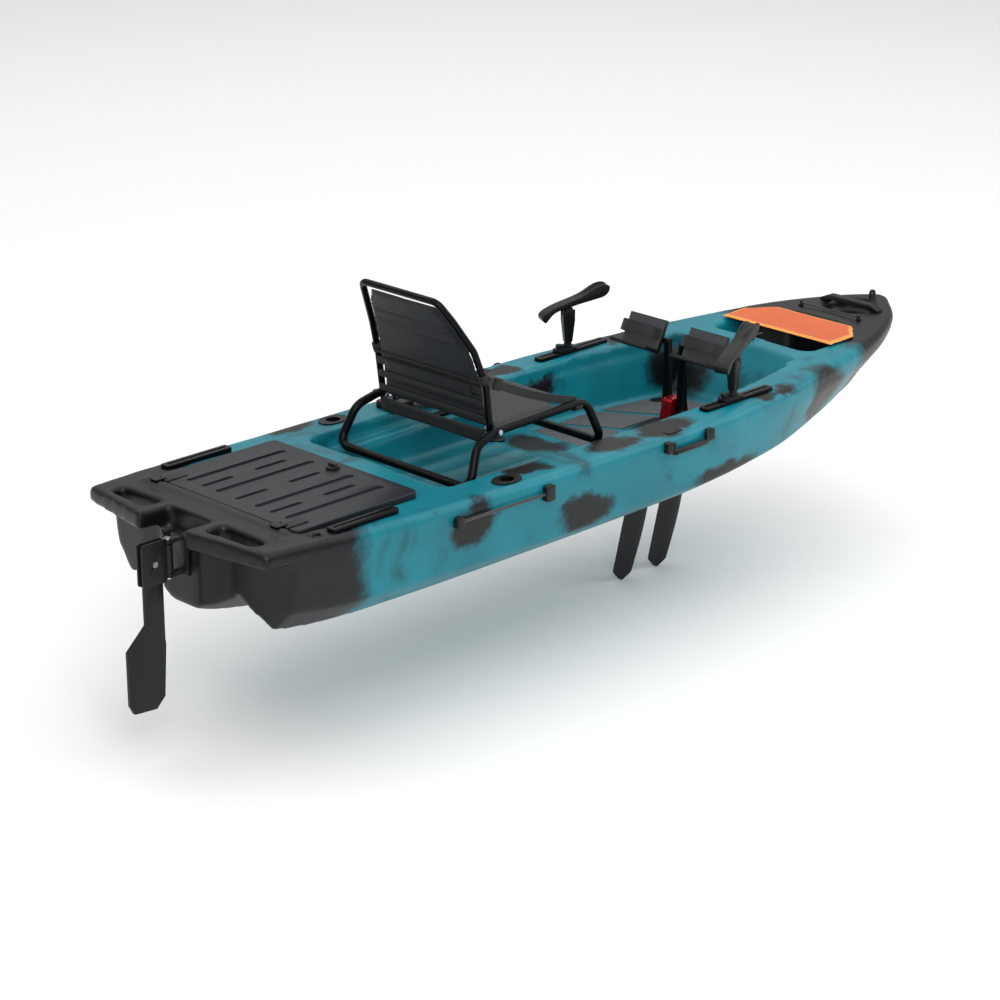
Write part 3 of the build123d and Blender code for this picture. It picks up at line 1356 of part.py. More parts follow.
with BuildPart() as rudder_head:
    with BuildSketch(Plane.XY.offset(LUG_LOW + LUG_THICK + 2.0)):
        with Locations((PINTLE_X, 0)):
            Circle(14.0)
        with Locations((PINTLE_X - 13.0, 0)):
            Rectangle(20.0, 20.0)
    extrude(amount=LUG_TOP - LUG_LOW - LUG_THICK - 4.0)
    with BuildSketch(Plane.XZ.offset(-(BLADE_THICK / 2 + SLIP + 5.0))) as cheek:
        with Locations((PINTLE_X - 54.5, BLADE_PIVOT_Z)):
            Rectangle(81.0, 122.0)
        fillet(cheek.vertices(), radius=9.0)
    extrude(amount=BLADE_THICK + 2 * SLIP + 10.0)
    with BuildSketch(Plane.XZ.offset(-(BLADE_THICK / 2 + SLIP))):
        with Locations((PINTLE_X - 22.5 - 50.0, BLADE_PIVOT_Z)):
            Rectangle(100.0, 140.0)
    extrude(amount=BLADE_THICK + 2 * SLIP, mode=Mode.SUBTRACT)
    with BuildSketch(Plane.XY.offset(LUG_LOW)):
        with Locations((PINTLE_X, 0)):
            Circle(PINTLE_R + RUN_FIT)
    extrude(amount=LUG_TOP + LUG_THICK, mode=Mode.SUBTRACT)
    with BuildSketch(Plane.XZ.offset(-40.0)):
        with Locations((BLADE_PIVOT_X, BLADE_PIVOT_Z)):
            Circle(RUDDER_BOLT_R + RUN_FIT)
    extrude(amount=80.0, mode=Mode.SUBTRACT)
save(rudder_head.part, "rudder_head")

with BuildPart() as rudder_bolt:
    cheek_out = BLADE_THICK / 2 + SLIP + 5.0
    with BuildSketch(Plane.XZ.offset(-cheek_out - 4.0)):
        with Locations((BLADE_PIVOT_X, BLADE_PIVOT_Z)):
            Circle(RUDDER_BOLT_R)
    extrude(amount=2 * cheek_out + 8.0)
    for start, run in ((cheek_out, -5.0), (-cheek_out, 5.0)):
        with BuildSketch(Plane.XZ.offset(-start)):
            with Locations((BLADE_PIVOT_X, BLADE_PIVOT_Z)):
                RegularPolygon(9.0, 6)
        extrude(amount=run)
save(rudder_bolt.part, "rudder_bolt")

SHANK_LOW = -60.0
BLADE_TOP = SHANK_LOW - 50.0
BLADE_LOW = BLADE_TOP - BLADE_LENGTH + 103.0
BLADE_FRONT = BLADE_PIVOT_X + 33.0
with BuildPart() as rudder_blade:
    with BuildSketch(Plane.XZ.offset(-BLADE_THICK / 2)) as blade:
        with BuildLine():
            Polyline(
                (BLADE_PIVOT_X + SHANK_HALF, BLADE_PIVOT_Z),
                (BLADE_PIVOT_X + SHANK_HALF, BLADE_TOP),
                (BLADE_FRONT, BLADE_TOP - 20.0),
                (BLADE_FRONT - 10.0, BLADE_LOW + 30.0),
                (BLADE_FRONT - 40.0, BLADE_LOW),
                (BLADE_FRONT - BLADE_WIDTH + 14.0, BLADE_LOW + 6.0),
                (BLADE_FRONT - BLADE_WIDTH, BLADE_LOW + 34.0),
                (BLADE_FRONT - BLADE_WIDTH, BLADE_TOP - 10.0),
                (BLADE_PIVOT_X - SHANK_HALF, SHANK_LOW),
                (BLADE_PIVOT_X - SHANK_HALF, BLADE_PIVOT_Z),
                close=True,
            )
        make_face()
        with Locations((BLADE_PIVOT_X, BLADE_PIVOT_Z)):
            Circle(SHANK_HALF)
        with Locations((BLADE_PIVOT_X, BLADE_PIVOT_Z)):
            Circle(RUDDER_BOLT_R + RUN_FIT, mode=Mode.SUBTRACT)
    extrude(amount=BLADE_THICK)
save(rudder_blade.part, "rudder_blade")

LEVER_Z = BOX_SEAT_Z + 18.0
with BuildPart() as lever_box:
    with BuildSketch(Plane.XY.offset(BOX_SEAT_Z)) as base:
        with Locations((BOX_X, BOX_Y)):
            Rectangle(BOX_LENGTH, BOX_WIDTH)
        fillet(base.vertices(), radius=12.0)
    extrude(amount=26.0)
    fillet(lever_box.edges().group_by(Axis.Z)[-1], radius=6.0)
    with BuildSketch(Plane.XY.offset(BOX_SEAT_Z + 6.0)):
        with Locations((BOX_X, BOX_Y)):
            SlotOverall(60.0, 13.0)
    extrude(amount=40.0, mode=Mode.SUBTRACT)
    with BuildSketch(Plane.XZ.offset(-(BOX_Y + 12.0))):
        with Locations((BOX_X, LEVER_Z)):
            Circle(3.0)
    extrude(amount=24.0)
save(lever_box.part, "lever_box")

LEVER_TOP = Vector(BOX_X - 30.0, BOX_Y, 395.0)
with BuildPart() as rudder_lever:
    with BuildSketch(Plane.XZ.offset(-(BOX_Y + 5.5))):
        with Locations((BOX_X, LEVER_Z)):
            Circle(8.0)
    extrude(amount=11.0)
    with BuildSketch(Plane(origin=(BOX_X, BOX_Y, LEVER_Z), z_dir=LEVER_TOP - Vector(BOX_X, BOX_Y, LEVER_Z))):
        Circle(4.5)
    extrude(amount=(LEVER_TOP - Vector(BOX_X, BOX_Y, LEVER_Z)).length)
    with Locations(LEVER_TOP):
        Sphere(9.0)
    with BuildSketch(Plane.XZ.offset(-(BOX_Y + 12.0))):
        with Locations((BOX_X, LEVER_Z)):
            Circle(3.0 + RUN_FIT)
    extrude(amount=24.0, mode=Mode.SUBTRACT)
save(rudder_lever.part, "rudder_lever")

# ---------------------------------------------------------------- pedal drive
INSERT_GAP = 1.5       # all round the drive in its well
FLANGE = 13.0
FLANGE_THICK = 8.0
INSERT_LOW = -100.0
FIN_AXIS_Z = INSERT_LOW - 12.0
LUG_REACH = 125.0      # from the well's middle to the outer hangers
MIDDLE_LUG = 18.0      # from the well's middle forward to the middle hanger
HANGER = 10.0
FIN_SHAFT_R = 5.0
HUB_R = 10.0
HUB_LENGTH = 60.0
AXLE_Z = 40.0
AXLE_R = 8.0
SPINE_HALF = 19.0
CRANK_IN = 22.0
CRANK_OUT = 38.0
PEDAL_PIN_R = 6.0
PEDAL_IN = 50.0
PEDAL_WIDTH = 150.0
PEDAL_LEAN = 25.0
CHAIN_R = 2.0
PULLEY_R = 21.0

with BuildPart() as drive_body:
    add(lens_prism(WELL_LENGTH - 2.6 * INSERT_GAP, WELL_WIDTH - 2 * INSERT_GAP, INSERT_LOW, 0.0))
    add(lens_prism(WELL_LENGTH + 2.2 * FLANGE, WELL_WIDTH + 2 * FLANGE, 0.0, FLANGE_THICK))
    for x in (WELL_X - LUG_REACH, WELL_X + MIDDLE_LUG, WELL_X + LUG_REACH):
        with BuildSketch(Plane.YZ.offset(x - HANGER / 2)):
            with Locations((0, FIN_AXIS_Z)):
                Circle(14.0)
            with Locations((0, (FIN_AXIS_Z + INSERT_LOW) / 2 + 2.0)):
                Rectangle(28.0, INSERT_LOW - FIN_AXIS_Z + 4.0)
        extrude(amount=HANGER)
    with BuildSketch(Plane.XY.offset(INSERT_LOW)):
        for rear, front in (
            (WELL_X - LUG_REACH + 14.0, WELL_X + MIDDLE_LUG - 8.0),
            (WELL_X + MIDDLE_LUG + 8.0, WELL_X + LUG_REACH - 14.0),
        ):
            with Locations(((rear + front) / 2, 0)):
                Rectangle(front - rear, 34.0)
    extrude(amount=FLANGE_THICK - INSERT_LOW, mode=Mode.SUBTRACT)
    with BuildSketch(Plane.YZ.offset(WELL_X - 200.0)):
        with Locations((0, FIN_AXIS_Z)):
            Circle(FIN_SHAFT_R)
    extrude(amount=400.0, mode=Mode.SUBTRACT)
save(drive_body.part, "drive_body")

with BuildPart() as fin_shaft:
    shaft_half = LUG_REACH + HANGER / 2
    with BuildSketch(Plane.YZ.offset(WELL_X - shaft_half)):
        with Locations((0, FIN_AXIS_Z)):
            Circle(FIN_SHAFT_R)
    extrude(amount=2 * shaft_half)
    for start, run in ((WELL_X - shaft_half, -4.0), (WELL_X + shaft_half, 4.0)):
        with BuildSketch(Plane.YZ.offset(start)):
            with Locations((0, FIN_AXIS_Z)):
                Circle(FIN_SHAFT_R + 3.0)
        extrude(amount=run)
save(fin_shaft.part, "fin_shaft")

with BuildPart() as drive_spine:
    with BuildSketch(Plane.XZ.offset(-SPINE_HALF)) as spine:
        with BuildLine():
            Polyline(
                (DRIVE_X - 52.0, FLANGE_THICK),
                (DRIVE_X + 52.0, FLANGE_THICK),
                (DRIVE_X + 34.0, AXLE_Z + 52.0),
                (DRIVE_X - 34.0, AXLE_Z + 52.0),
                close=True,
            )
        make_face()
        fillet(spine.vertices().group_by(Axis.Y)[-1], radius=14.0)
    extrude(amount=2 * SPINE_HALF)
    for side in (1, -1):
        with BuildSketch(Plane.XZ.offset(-side * 2.5)):
            with Locations((DRIVE_X, AXLE_Z)):
                Rectangle(62.0, 68.0)
        extrude(amount=-side * 10.5, mode=Mode.SUBTRACT)
        with BuildSketch(Plane.XZ.offset(-side * 2.5)):
            with Locations((DRIVE_X, AXLE_Z)):
                Circle(11.0 + RUN_FIT)
        extrude(amount=-side * SPINE_HALF, mode=Mode.SUBTRACT)
    with BuildSketch(Plane.XZ.offset(-SPINE_HALF)):
        with Locations((DRIVE_X, AXLE_Z)):
            Circle(AXLE_R)
    extrude(amount=2 * SPINE_HALF, mode=Mode.SUBTRACT)
save(drive_spine.part, "drive_spine")

with BuildPart() as crank_axle:
    with BuildSketch(Plane.XZ.offset(-CRANK_OUT - SLIP)):
        with Locations((DRIVE_X, AXLE_Z)):
            Circle(AXLE_R)
    extrude(amount=2 * CRANK_OUT + 2 * SLIP)
    for start, run in ((CRANK_OUT + SLIP, -4.0), (-CRANK_OUT - SLIP, 4.0)):
        with BuildSketch(Plane.XZ.offset(-start)):
            with Locations((DRIVE_X, AXLE_Z)):
                Circle(13.0)
        extrude(amount=run)
save(crank_axle.part, "crank_axle")


def crank(side):
    """A crank: arm, pedal pin, and a sleeve that carries the chain pulley inside the spine."""
    pin_z = AXLE_Z + CRANK_LENGTH
    with BuildPart() as piece:
        for radius, start, finish in (
            (PULLEY_R, 3.0, 11.0),
            (11.0, 3.0, CRANK_IN + 1.0),
            (19.0, CRANK_IN, CRANK_OUT),
        ):
            with BuildSketch(Plane.XZ.offset(-side * start)):
                with Locations((DRIVE_X, AXLE_Z)):
                    Circle(radius)
            extrude(amount=-side * (finish - start))
        with BuildSketch(Plane.XZ.offset(-side * CRANK_IN)):
            with Locations((DRIVE_X, (AXLE_Z + pin_z) / 2)):
                Trapezoid(34.0, CRANK_LENGTH, 88.0)
            with Locations((DRIVE_X, pin_z)):
                Circle(11.0)
        extrude(amount=-side * (CRANK_OUT - CRANK_IN))
        with BuildSketch(Plane.XZ.offset(-side * CRANK_OUT)):
            with Locations((DRIVE_X, pin_z)):
                Circle(PEDAL_PIN_R)
        extrude(amount=-side * (PEDAL_IN + PEDAL_WIDTH - CRANK_OUT))
        with BuildSketch(Plane.XZ.offset(-side * (PEDAL_IN + PEDAL_WIDTH))):
            with Locations((DRIVE_X, pin_z)):
                Circle(PEDAL_PIN_R + 3.0)
        extrude(amount=-side * 3.0)
        with BuildSketch(Plane.XZ.offset(-side * 3.0)):
            with Locations((DRIVE_X, AXLE_Z)):
                Circle(AXLE_R + RUN_FIT)
        extrude(amount=-side * CRANK_OUT, mode=Mode.SUBTRACT)
    return piece.part


def pedal(side):
    """A footrest: a pad that leans back from the pin, with a ledge for the heel."""
    outer = PEDAL_IN + PEDAL_WIDTH - SLIP
    with BuildPart() as piece:
        with BuildSketch(Plane.XZ.offset(-side * PEDAL_IN)) as profile:
            with BuildLine():
                Polyline(
                    (-2.0, -45.0), (-2.0, 62.0), (-14.0, 62.0), (-16.0, -34.0), (-72.0, -34.0),
                    (-74.0, -45.0),
                    close=True,
                )
            make_face()
            fillet(profile.vertices(), radius=3.0)
            Circle(11.5)
        extrude(amount=-side * (outer - PEDAL_IN))
        with BuildSketch(Plane.XZ.offset(-side * PEDAL_IN)):
            Circle(PEDAL_PIN_R + RUN_FIT)
        extrude(amount=-side * PEDAL_WIDTH, mode=Mode.SUBTRACT)
    return Pos(DRIVE_X, 0, AXLE_Z + CRANK_LENGTH) * Rot(0, PEDAL_LEAN, 0) * piece.part


for name, side in (("port", 1), ("starboard", -1)):
    save(crank(side), "crank_" + name)
    save(pedal(side), "pedal_" + name)

with BuildPart() as drive_chains:
    for x, side, fin_x in ((DRIVE_X + PULLEY_R + 3.0, 1, WELL_X + FIN_SPACING / 2),
                           (DRIVE_X - PULLEY_R - 3.0, -1, WELL_X - FIN_SPACING / 2)):
        stops = [
            Vector(x, side * 7.0, AXLE_Z),
            Vector(x, side * 7.0, -40.0),
            Vector(fin_x, side * (HUB_R + 3.0), FIN_AXIS_Z),
        ]
        for start, finish in zip(stops, stops[1:]):
            with BuildSketch(Plane(origin=start, z_dir=finish - start)):
                Circle(CHAIN_R)
            extrude(amount=(finish - start).length)
        with Locations(stops[1]):
            Sphere(CHAIN_R)
save(drive_chains.part, "drive_chains")

MAST_SWEEP = 15.0
MAST_LENGTH = 290.0
FIN_THICK = 16.0
FIN_TOP = 18.0         # from the shaft down to the fin's upper edge
FIN_LEAD = 30.0        # from the mast forward to the leading edge


def mast(x):
    """A hub on the fin shaft with the swept rod that carries a fin."""
    sweep_dir = Vector(-sin(radians(MAST_SWEEP)), 0, -cos(radians(MAST_SWEEP)))
    with BuildPart() as piece:
        with BuildSketch(Plane.YZ.offset(x - HUB_LENGTH / 2)):
            with Locations((0, FIN_AXIS_Z)):
                Circle(HUB_R)
        extrude(amount=HUB_LENGTH)
        with BuildSketch(Plane(origin=(x, 0, FIN_AXIS_Z), z_dir=sweep_dir)):
            Circle(FIN_SHAFT_R)
        extrude(amount=MAST_LENGTH)
        with BuildSketch(Plane.YZ.offset(x - HUB_LENGTH / 2)):
            with Locations((0, FIN_AXIS_Z)):
                Circle(FIN_SHAFT_R + RUN_FIT)
        extrude(amount=HUB_LENGTH, mode=Mode.SUBTRACT)
    return piece.part


def fin(x):
    """A flexible fin, thick at its mast and thin at its trailing edge, with a rounded tip."""
    reach = FIN_LENGTH - FIN_TOP
    sweep_back = -sin(radians(MAST_SWEEP)) / cos(radians(MAST_SWEEP))
    lead = FIN_LEAD
    trail = FIN_LEAD - FIN_CHORD
    with BuildPart() as section:
        with BuildSketch(Plane.XY.offset(FIN_AXIS_Z)):
            with BuildLine():
                Spline((x + lead, 0), (x + lead - 8.0, 4.5), (x, FIN_THICK / 2), (x + trail + 40.0, 4.0),
                       (x + trail, 1.5))
                Line((x + trail, 1.5), (x + trail, -1.5))
                Spline((x + trail, -1.5), (x + trail + 40.0, -4.0), (x, -FIN_THICK / 2), (x + lead - 8.0, -4.5),
                       (x + lead, 0))
            make_face()
        extrude(amount=400.0, dir=(sweep_back, 0, -1))
    with BuildPart() as piece:
        with BuildSketch(Plane.XZ.offset(-FIN_THICK)) as outline:
            with BuildLine():
                Polyline(
                    (x + lead + FIN_TOP * sweep_back - 1.0, FIN_AXIS_Z - FIN_TOP),
                    (x + lead + reach * 0.5 * sweep_back - 1.0, FIN_AXIS_Z - reach * 0.5),
                    (x + reach * sweep_back + 2.0, FIN_AXIS_Z - reach + 2.0),
                    (x + reach * sweep_back - 40.0, FIN_AXIS_Z - reach - FIN_TOP),
                    (x + trail + 12.0 + reach * sweep_back, FIN_AXIS_Z - reach + 18.0),
                    (x + trail + 4.0 + FIN_TOP * sweep_back, FIN_AXIS_Z - FIN_TOP - 26.0),
                    (x + trail + 22.0 + FIN_TOP * sweep_back, FIN_AXIS_Z - FIN_TOP),
                    close=True,
                )
            make_face()
            fillet(outline.vertices(), radius=14.0)
        extrude(amount=2 * FIN_THICK)
        add(section.part, mode=Mode.INTERSECT)
        with BuildSketch(Plane(origin=(x, 0, FIN_AXIS_Z), z_dir=(sweep_back, 0, -1))):
            Circle(FIN_SHAFT_R)
        extrude(amount=MAST_LENGTH, mode=Mode.SUBTRACT)
    return piece.part


for name, x in (("front", WELL_X + FIN_SPACING / 2), ("rear", WELL_X - FIN_SPACING / 2)):
    save(mast(x), "mast_" + name)
    save(fin(x), "fin_" + name)
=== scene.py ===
# %% [markdown]
# A fishing kayak that is driven by pedals. Every piece sits on a model made in a CAD program, which fixes the
# sizes and the places, and this lesson gives the pieces their real surfaces: soft moulded edges, stretched
# cloth, webbing, anodised metal. The sizes are in metres, with the bow along +X and the port side along +Y.

# %% Load the fixed frame
import json
import math

import bpy
from mathutils import Euler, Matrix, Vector, noise
from mathutils.kdtree import KDTree

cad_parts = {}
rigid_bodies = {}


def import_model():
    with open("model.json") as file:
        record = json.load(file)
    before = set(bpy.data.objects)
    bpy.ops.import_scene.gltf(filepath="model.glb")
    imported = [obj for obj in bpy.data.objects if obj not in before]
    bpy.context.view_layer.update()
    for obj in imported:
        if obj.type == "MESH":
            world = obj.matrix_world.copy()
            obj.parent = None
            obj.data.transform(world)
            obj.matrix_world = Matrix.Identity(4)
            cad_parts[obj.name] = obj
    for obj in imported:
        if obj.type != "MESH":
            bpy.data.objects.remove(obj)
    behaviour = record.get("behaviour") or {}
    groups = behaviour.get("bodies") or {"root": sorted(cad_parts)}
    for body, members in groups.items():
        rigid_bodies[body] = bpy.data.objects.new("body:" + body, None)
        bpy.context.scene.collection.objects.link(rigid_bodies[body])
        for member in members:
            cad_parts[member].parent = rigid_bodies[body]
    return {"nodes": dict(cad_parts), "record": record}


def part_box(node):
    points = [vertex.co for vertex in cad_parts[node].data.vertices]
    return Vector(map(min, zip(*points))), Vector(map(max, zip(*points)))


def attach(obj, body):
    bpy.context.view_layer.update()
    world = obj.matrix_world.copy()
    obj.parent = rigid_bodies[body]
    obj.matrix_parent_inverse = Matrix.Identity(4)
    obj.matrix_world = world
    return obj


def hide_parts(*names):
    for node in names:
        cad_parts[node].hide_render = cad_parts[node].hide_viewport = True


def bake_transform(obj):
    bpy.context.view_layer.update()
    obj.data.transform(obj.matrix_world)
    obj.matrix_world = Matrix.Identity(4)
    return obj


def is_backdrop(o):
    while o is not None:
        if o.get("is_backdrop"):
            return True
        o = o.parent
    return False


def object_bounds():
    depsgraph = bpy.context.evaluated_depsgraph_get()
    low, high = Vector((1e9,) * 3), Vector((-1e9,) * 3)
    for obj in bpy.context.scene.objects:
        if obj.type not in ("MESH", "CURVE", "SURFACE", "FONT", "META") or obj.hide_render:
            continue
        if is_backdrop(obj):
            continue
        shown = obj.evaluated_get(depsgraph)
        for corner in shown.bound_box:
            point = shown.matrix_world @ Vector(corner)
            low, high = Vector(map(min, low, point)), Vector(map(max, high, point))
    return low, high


# An empty stage, whatever Blender opened with.
bpy.ops.object.select_all(action="SELECT")
bpy.ops.object.delete()
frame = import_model()
nodes = frame["nodes"]
cad_low, cad_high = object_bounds()
hull_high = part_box("hull")[1]
print("CAD box", [round(v, 3) for v in (*cad_low, *cad_high)])

# %% [markdown]
# The camera comes first, because it decides what is worth making. It looks from behind the starboard quarter
# and a little above, through a long lens, so that the boat's lines stay nearly parallel. The light is that of
# a white studio: a big soft lamp above, a second from the front, a weak one to open the shadows.

# %% Camera, floor and lights
STERN_QUARTER = math.radians(-44.85)
LOOK_DOWN = math.radians(20.4)
middle = (cad_low + cad_high) / 2 + Vector((-0.15, 0.05, -0.19))
towards = Vector((
    math.sin(STERN_QUARTER) * math.cos(LOOK_DOWN),
    -math.cos(STERN_QUARTER) * math.cos(LOOK_DOWN),
    math.sin(LOOK_DOWN),
))
camera_data = bpy.data.cameras.new("camera")
camera_data.lens = 104
camera_data.clip_end = 100
camera = bpy.data.objects.new("camera", camera_data)
camera.location = middle + towards * 8.6
camera.rotation_euler = (-towards).to_track_quat("-Z", "Y").to_euler()
bpy.context.scene.collection.objects.link(camera)
bpy.context.scene.camera = camera

bpy.ops.object.select_all(action="DESELECT")
bpy.ops.mesh.primitive_plane_add(size=60, location=(0, 0, 0))
floor = bpy.context.object
floor.name = "floor"
for corner in floor.data.vertices:
    corner.co.z = cad_low.z - 0.002
floor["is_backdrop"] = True
paper = bpy.data.materials.new("studio_paper")
paper.use_nodes = True
paper.node_tree.nodes["Principled BSDF"].inputs["Base Color"].default_value = (0.9, 0.9, 0.895, 1.0)
paper.node_tree.nodes["Principled BSDF"].inputs["Roughness"].default_value = 0.9
floor.data.materials.append(paper)


def softbox(name, place, aim, size, watts):
    """A square lamp at a place, turned to an aim."""
    data = bpy.data.lights.new(name, "AREA")
    data.size = size
    data.energy = watts
    lamp = bpy.data.objects.new(name, data)
    lamp.location = place
    lamp.rotation_euler = (Vector(aim) - Vector(place)).to_track_quat("-Z", "Y").to_euler()
    bpy.context.scene.collection.objects.link(lamp)


softbox("overhead", (1.5, 1.5, 7.0), (1.5, 1.5, 0), 16.0, 820)
softbox("key", (-3.5, -3.5, 2.6), (0, 0, 0), 2.5, 110)
softbox("bow_fill", (3.5, -2.5, 2.0), (0.5, 0, 0), 2.5, 45)
bpy.context.scene.view_settings.view_transform = "Standard"
world = bpy.data.worlds.new("studio")
bpy.context.scene.world = world
world.use_nodes = True
world.node_tree.nodes["Background"].inputs["Color"].default_value = (1.0, 1.0, 1.0, 1.0)
world.node_tree.nodes["Background"].inputs["Strength"].default_value = 0.5
print("camera", [round(v, 2) for v in camera.location])

# %% [markdown]
# Each finish is a small network of nodes. Two helpers do the repeated work: one turns a colour as a designer
# writes it, in hex, into the linear values that Blender computes with, and one adds a node with its settings
# and links. A third starts a material with the shader's constants, which are set on its own sockets.

# %% Helpers for materials


def linear(code, alpha=1.0):
    """A hex sRGB colour as linear red, green, blue and alpha."""
    parts = [int(code[i:i + 2], 16) / 255 for i in (1, 3, 5)]
    return (*[p / 12.92 if p <= 0.04045 else ((p + 0.055) / 1.055) ** 2.4 for p in parts], alpha)


def add_node(material, kind, settings=None, **inputs):
    """Adds a node. Settings are its properties; inputs are numbers, colours or sockets to link."""
    node = material.node_tree.nodes.new(kind)
    for name, value in (settings or {}).items():
        setattr(node, name, value)
    for name, value in inputs.items():
        socket = node.inputs[int(name[1:])] if name[0] == "i" and name[1:].isdigit() else node.inputs[name]
        if isinstance(value, bpy.types.NodeSocket):
            material.node_tree.links.new(value, socket)
        else:
            socket.default_value = value
    return node


def start_material(name, colour, roughness, **shader):
    """A new material whose shader has these constants. Returns the material and its shader."""
    material = bpy.data.materials.new(name)
    material.use_nodes = True
    surface = material.node_tree.nodes["Principled BSDF"]
    surface.inputs["Base Color"].default_value = linear(colour)
    surface.inputs["Roughness"].default_value = roughness
    for socket, value in shader.items():
        surface.inputs[socket.replace("_", " ")].default_value = value
    return material, surface


def object_place(material):
    """The place on the object, in metres."""
    return add_node(material, "ShaderNodeTexCoord").outputs["Object"]


def mottle(material, surface, size_mm, dark, light, rough_low, rough_high, bump_mm, detail=4.0):
    """Moulding texture: cloudy colour, uneven gloss and a fine bump, all of one noise."""
    place = object_place(material)
    cloud = add_node(material, "ShaderNodeTexNoise", Vector=place, Scale=1000 / size_mm, Detail=detail)
    colour = add_node(material, "ShaderNodeMix", {"data_type": "RGBA"}, Factor=cloud.outputs["Fac"],
                      i6=linear(dark), i7=linear(light))
    gloss = add_node(material, "ShaderNodeMapRange", {}, Value=cloud.outputs["Fac"])
    gloss.inputs["To Min"].default_value = rough_low
    gloss.inputs["To Max"].default_value = rough_high
    bump = add_node(material, "ShaderNodeBump", Height=cloud.outputs["Fac"], Strength=1.0,
                    Distance=bump_mm / 1000)
    links = material.node_tree.links
    links.new(colour.outputs[2], surface.inputs["Base Color"])
    links.new(gloss.outputs["Result"], surface.inputs["Roughness"])
    links.new(bump.outputs["Normal"], surface.inputs["Normal"])
    return bump


# %% [markdown]
# The hull is rotomoulded: plastic powder tumbles in a hot mould and melts on its wall. Powders of two colours
# are thrown in by hand, so teal runs into black with soft, cloudy edges, and the ends are all black.
# The pattern is built from the place on the object: soft balls stand where the dark patches are, noise frays
# their edges, and two ramps along X darken the ends. The skin has a faint orange peel and is half glossy.

# %% Camouflaged polyethylene
TEAL = "#0795A8"
BLACK_POWDER = "#07080B"
hull_paint, skin = start_material("rotomoulded_polyethylene", TEAL, 0.38, Specular_IOR_Level=0.3)
place = object_place(hull_paint)
# Patches: centre and size in metres. The deck has many small ones, the sides a few large ones.
PATCHES = [
    ((0.80, 0.40, 0.10), (0.13, 0.12, 0.11)), ((0.83, -0.36, 0.10), (0.11, 0.12, 0.10)),
    ((0.31, -0.44, -0.01), (0.20, 0.10, 0.05)), ((0.30, 0.44, -0.01), (0.20, 0.10, 0.05)),
    ((0.52, -0.40, 0.20), (0.12, 0.08, 0.03)), ((-0.05, 0.43, 0.06), (0.10, 0.08, 0.06)),
    ((-0.40, 0.43, 0.09), (0.11, 0.08, 0.09)), ((-0.34, -0.43, 0.04), (0.12, 0.08, 0.05)),
    ((-0.74, 0.41, 0.18), (0.09, 0.06, 0.04)), ((-0.78, -0.41, 0.12), (0.08, 0.07, 0.06)),
    ((-0.30, 0.33, 0.19), (0.12, 0.06, 0.03)), ((0.05, -0.36, 0.19), (0.11, 0.06, 0.03)),
    ((0.70, 0.16, 0.10), (0.10, 0.10, 0.09)), ((-0.02, 0.10, 0.06), (0.07, 0.12, 0.07)),
    ((-0.62, -0.12, 0.05), (0.12, 0.10, 0.05)), ((-0.15, -0.16, 0.05), (0.09, 0.07, 0.05)),
    ((0.18, 0.26, 0.12), (0.10, 0.05, 0.06)), ((-0.16, -0.35, 0.19), (0.09, 0.06, 0.03)),
    ((0.62, 0.33, 0.19), (0.10, 0.05, 0.03)), ((0.66, -0.20, 0.12), (0.08, 0.07, 0.08)),
    ((0.10, 0.35, 0.19), (0.07, 0.05, 0.03)), ((-0.48, -0.33, 0.19), (0.08, 0.05, 0.03)),
]
fray = add_node(hull_paint, "ShaderNodeTexNoise", Vector=place, Scale=9.0, Detail=6.0, Roughness=0.62)
shifted = add_node(hull_paint, "ShaderNodeVectorMath", {"operation": "MULTIPLY_ADD"},
                   i0=fray.outputs["Color"], i1=(0.16, 0.12, 0.12), i2=place)
centred = add_node(hull_paint, "ShaderNodeVectorMath", {"operation": "SUBTRACT"},
                   i0=shifted.outputs[0], i1=(0.08, 0.06, 0.06))
dark = None
for centre, size in PATCHES:
    offset = add_node(hull_paint, "ShaderNodeVectorMath", {"operation": "SUBTRACT"},
                      i0=centred.outputs[0], i1=centre)
    scaled = add_node(hull_paint, "ShaderNodeVectorMath", {"operation": "DIVIDE"},
                      i0=offset.outputs[0], i1=size)
    ball = add_node(hull_paint, "ShaderNodeVectorMath", {"operation": "LENGTH"}, i0=scaled.outputs[0])
    near = ball.outputs["Value"]
    dark = near if dark is None else add_node(hull_paint, "ShaderNodeMath", {"operation": "MINIMUM"},
                                              i0=dark, i1=near).outputs[0]
patch = add_node(hull_paint, "ShaderNodeMapRange", {"interpolation_type": "SMOOTHSTEP"}, Value=dark)
for socket, value in (("From Min", 1.25), ("From Max", 0.75), ("To Min", 0.0), ("To Max", 1.0)):
    patch.inputs[socket].default_value = value
along = add_node(hull_paint, "ShaderNodeSeparateXYZ", Vector=centred.outputs[0]).outputs["X"]
ends = []
for start, finish in ((0.98, 1.08), (-1.12, -1.20)):
    ramp = add_node(hull_paint, "ShaderNodeMapRange", {"interpolation_type": "SMOOTHSTEP"}, Value=along)
    ramp.inputs["From Min"].default_value = start
    ramp.inputs["From Max"].default_value = finish
    ends.append(ramp.outputs["Result"])
both_ends = add_node(hull_paint, "ShaderNodeMath", {"operation": "MAXIMUM"}, i0=ends[0], i1=ends[1])
cover_all = add_node(hull_paint, "ShaderNodeMath", {"operation": "MAXIMUM"},
                     i0=both_ends.outputs[0], i1=patch.outputs["Result"])
wisps = add_node(hull_paint, "ShaderNodeTexNoise", Vector=place, Scale=3.2, Detail=5.0, Roughness=0.55)
teal = add_node(hull_paint, "ShaderNodeMix", {"data_type": "RGBA"}, Factor=wisps.outputs["Fac"],
                i6=linear("#024E5A"), i7=linear("#068C9D"))
smoke = add_node(hull_paint, "ShaderNodeTexNoise", Vector=place,
                 Scale=4.6, Detail=7.0, Roughness=0.6, Distortion=0.8)
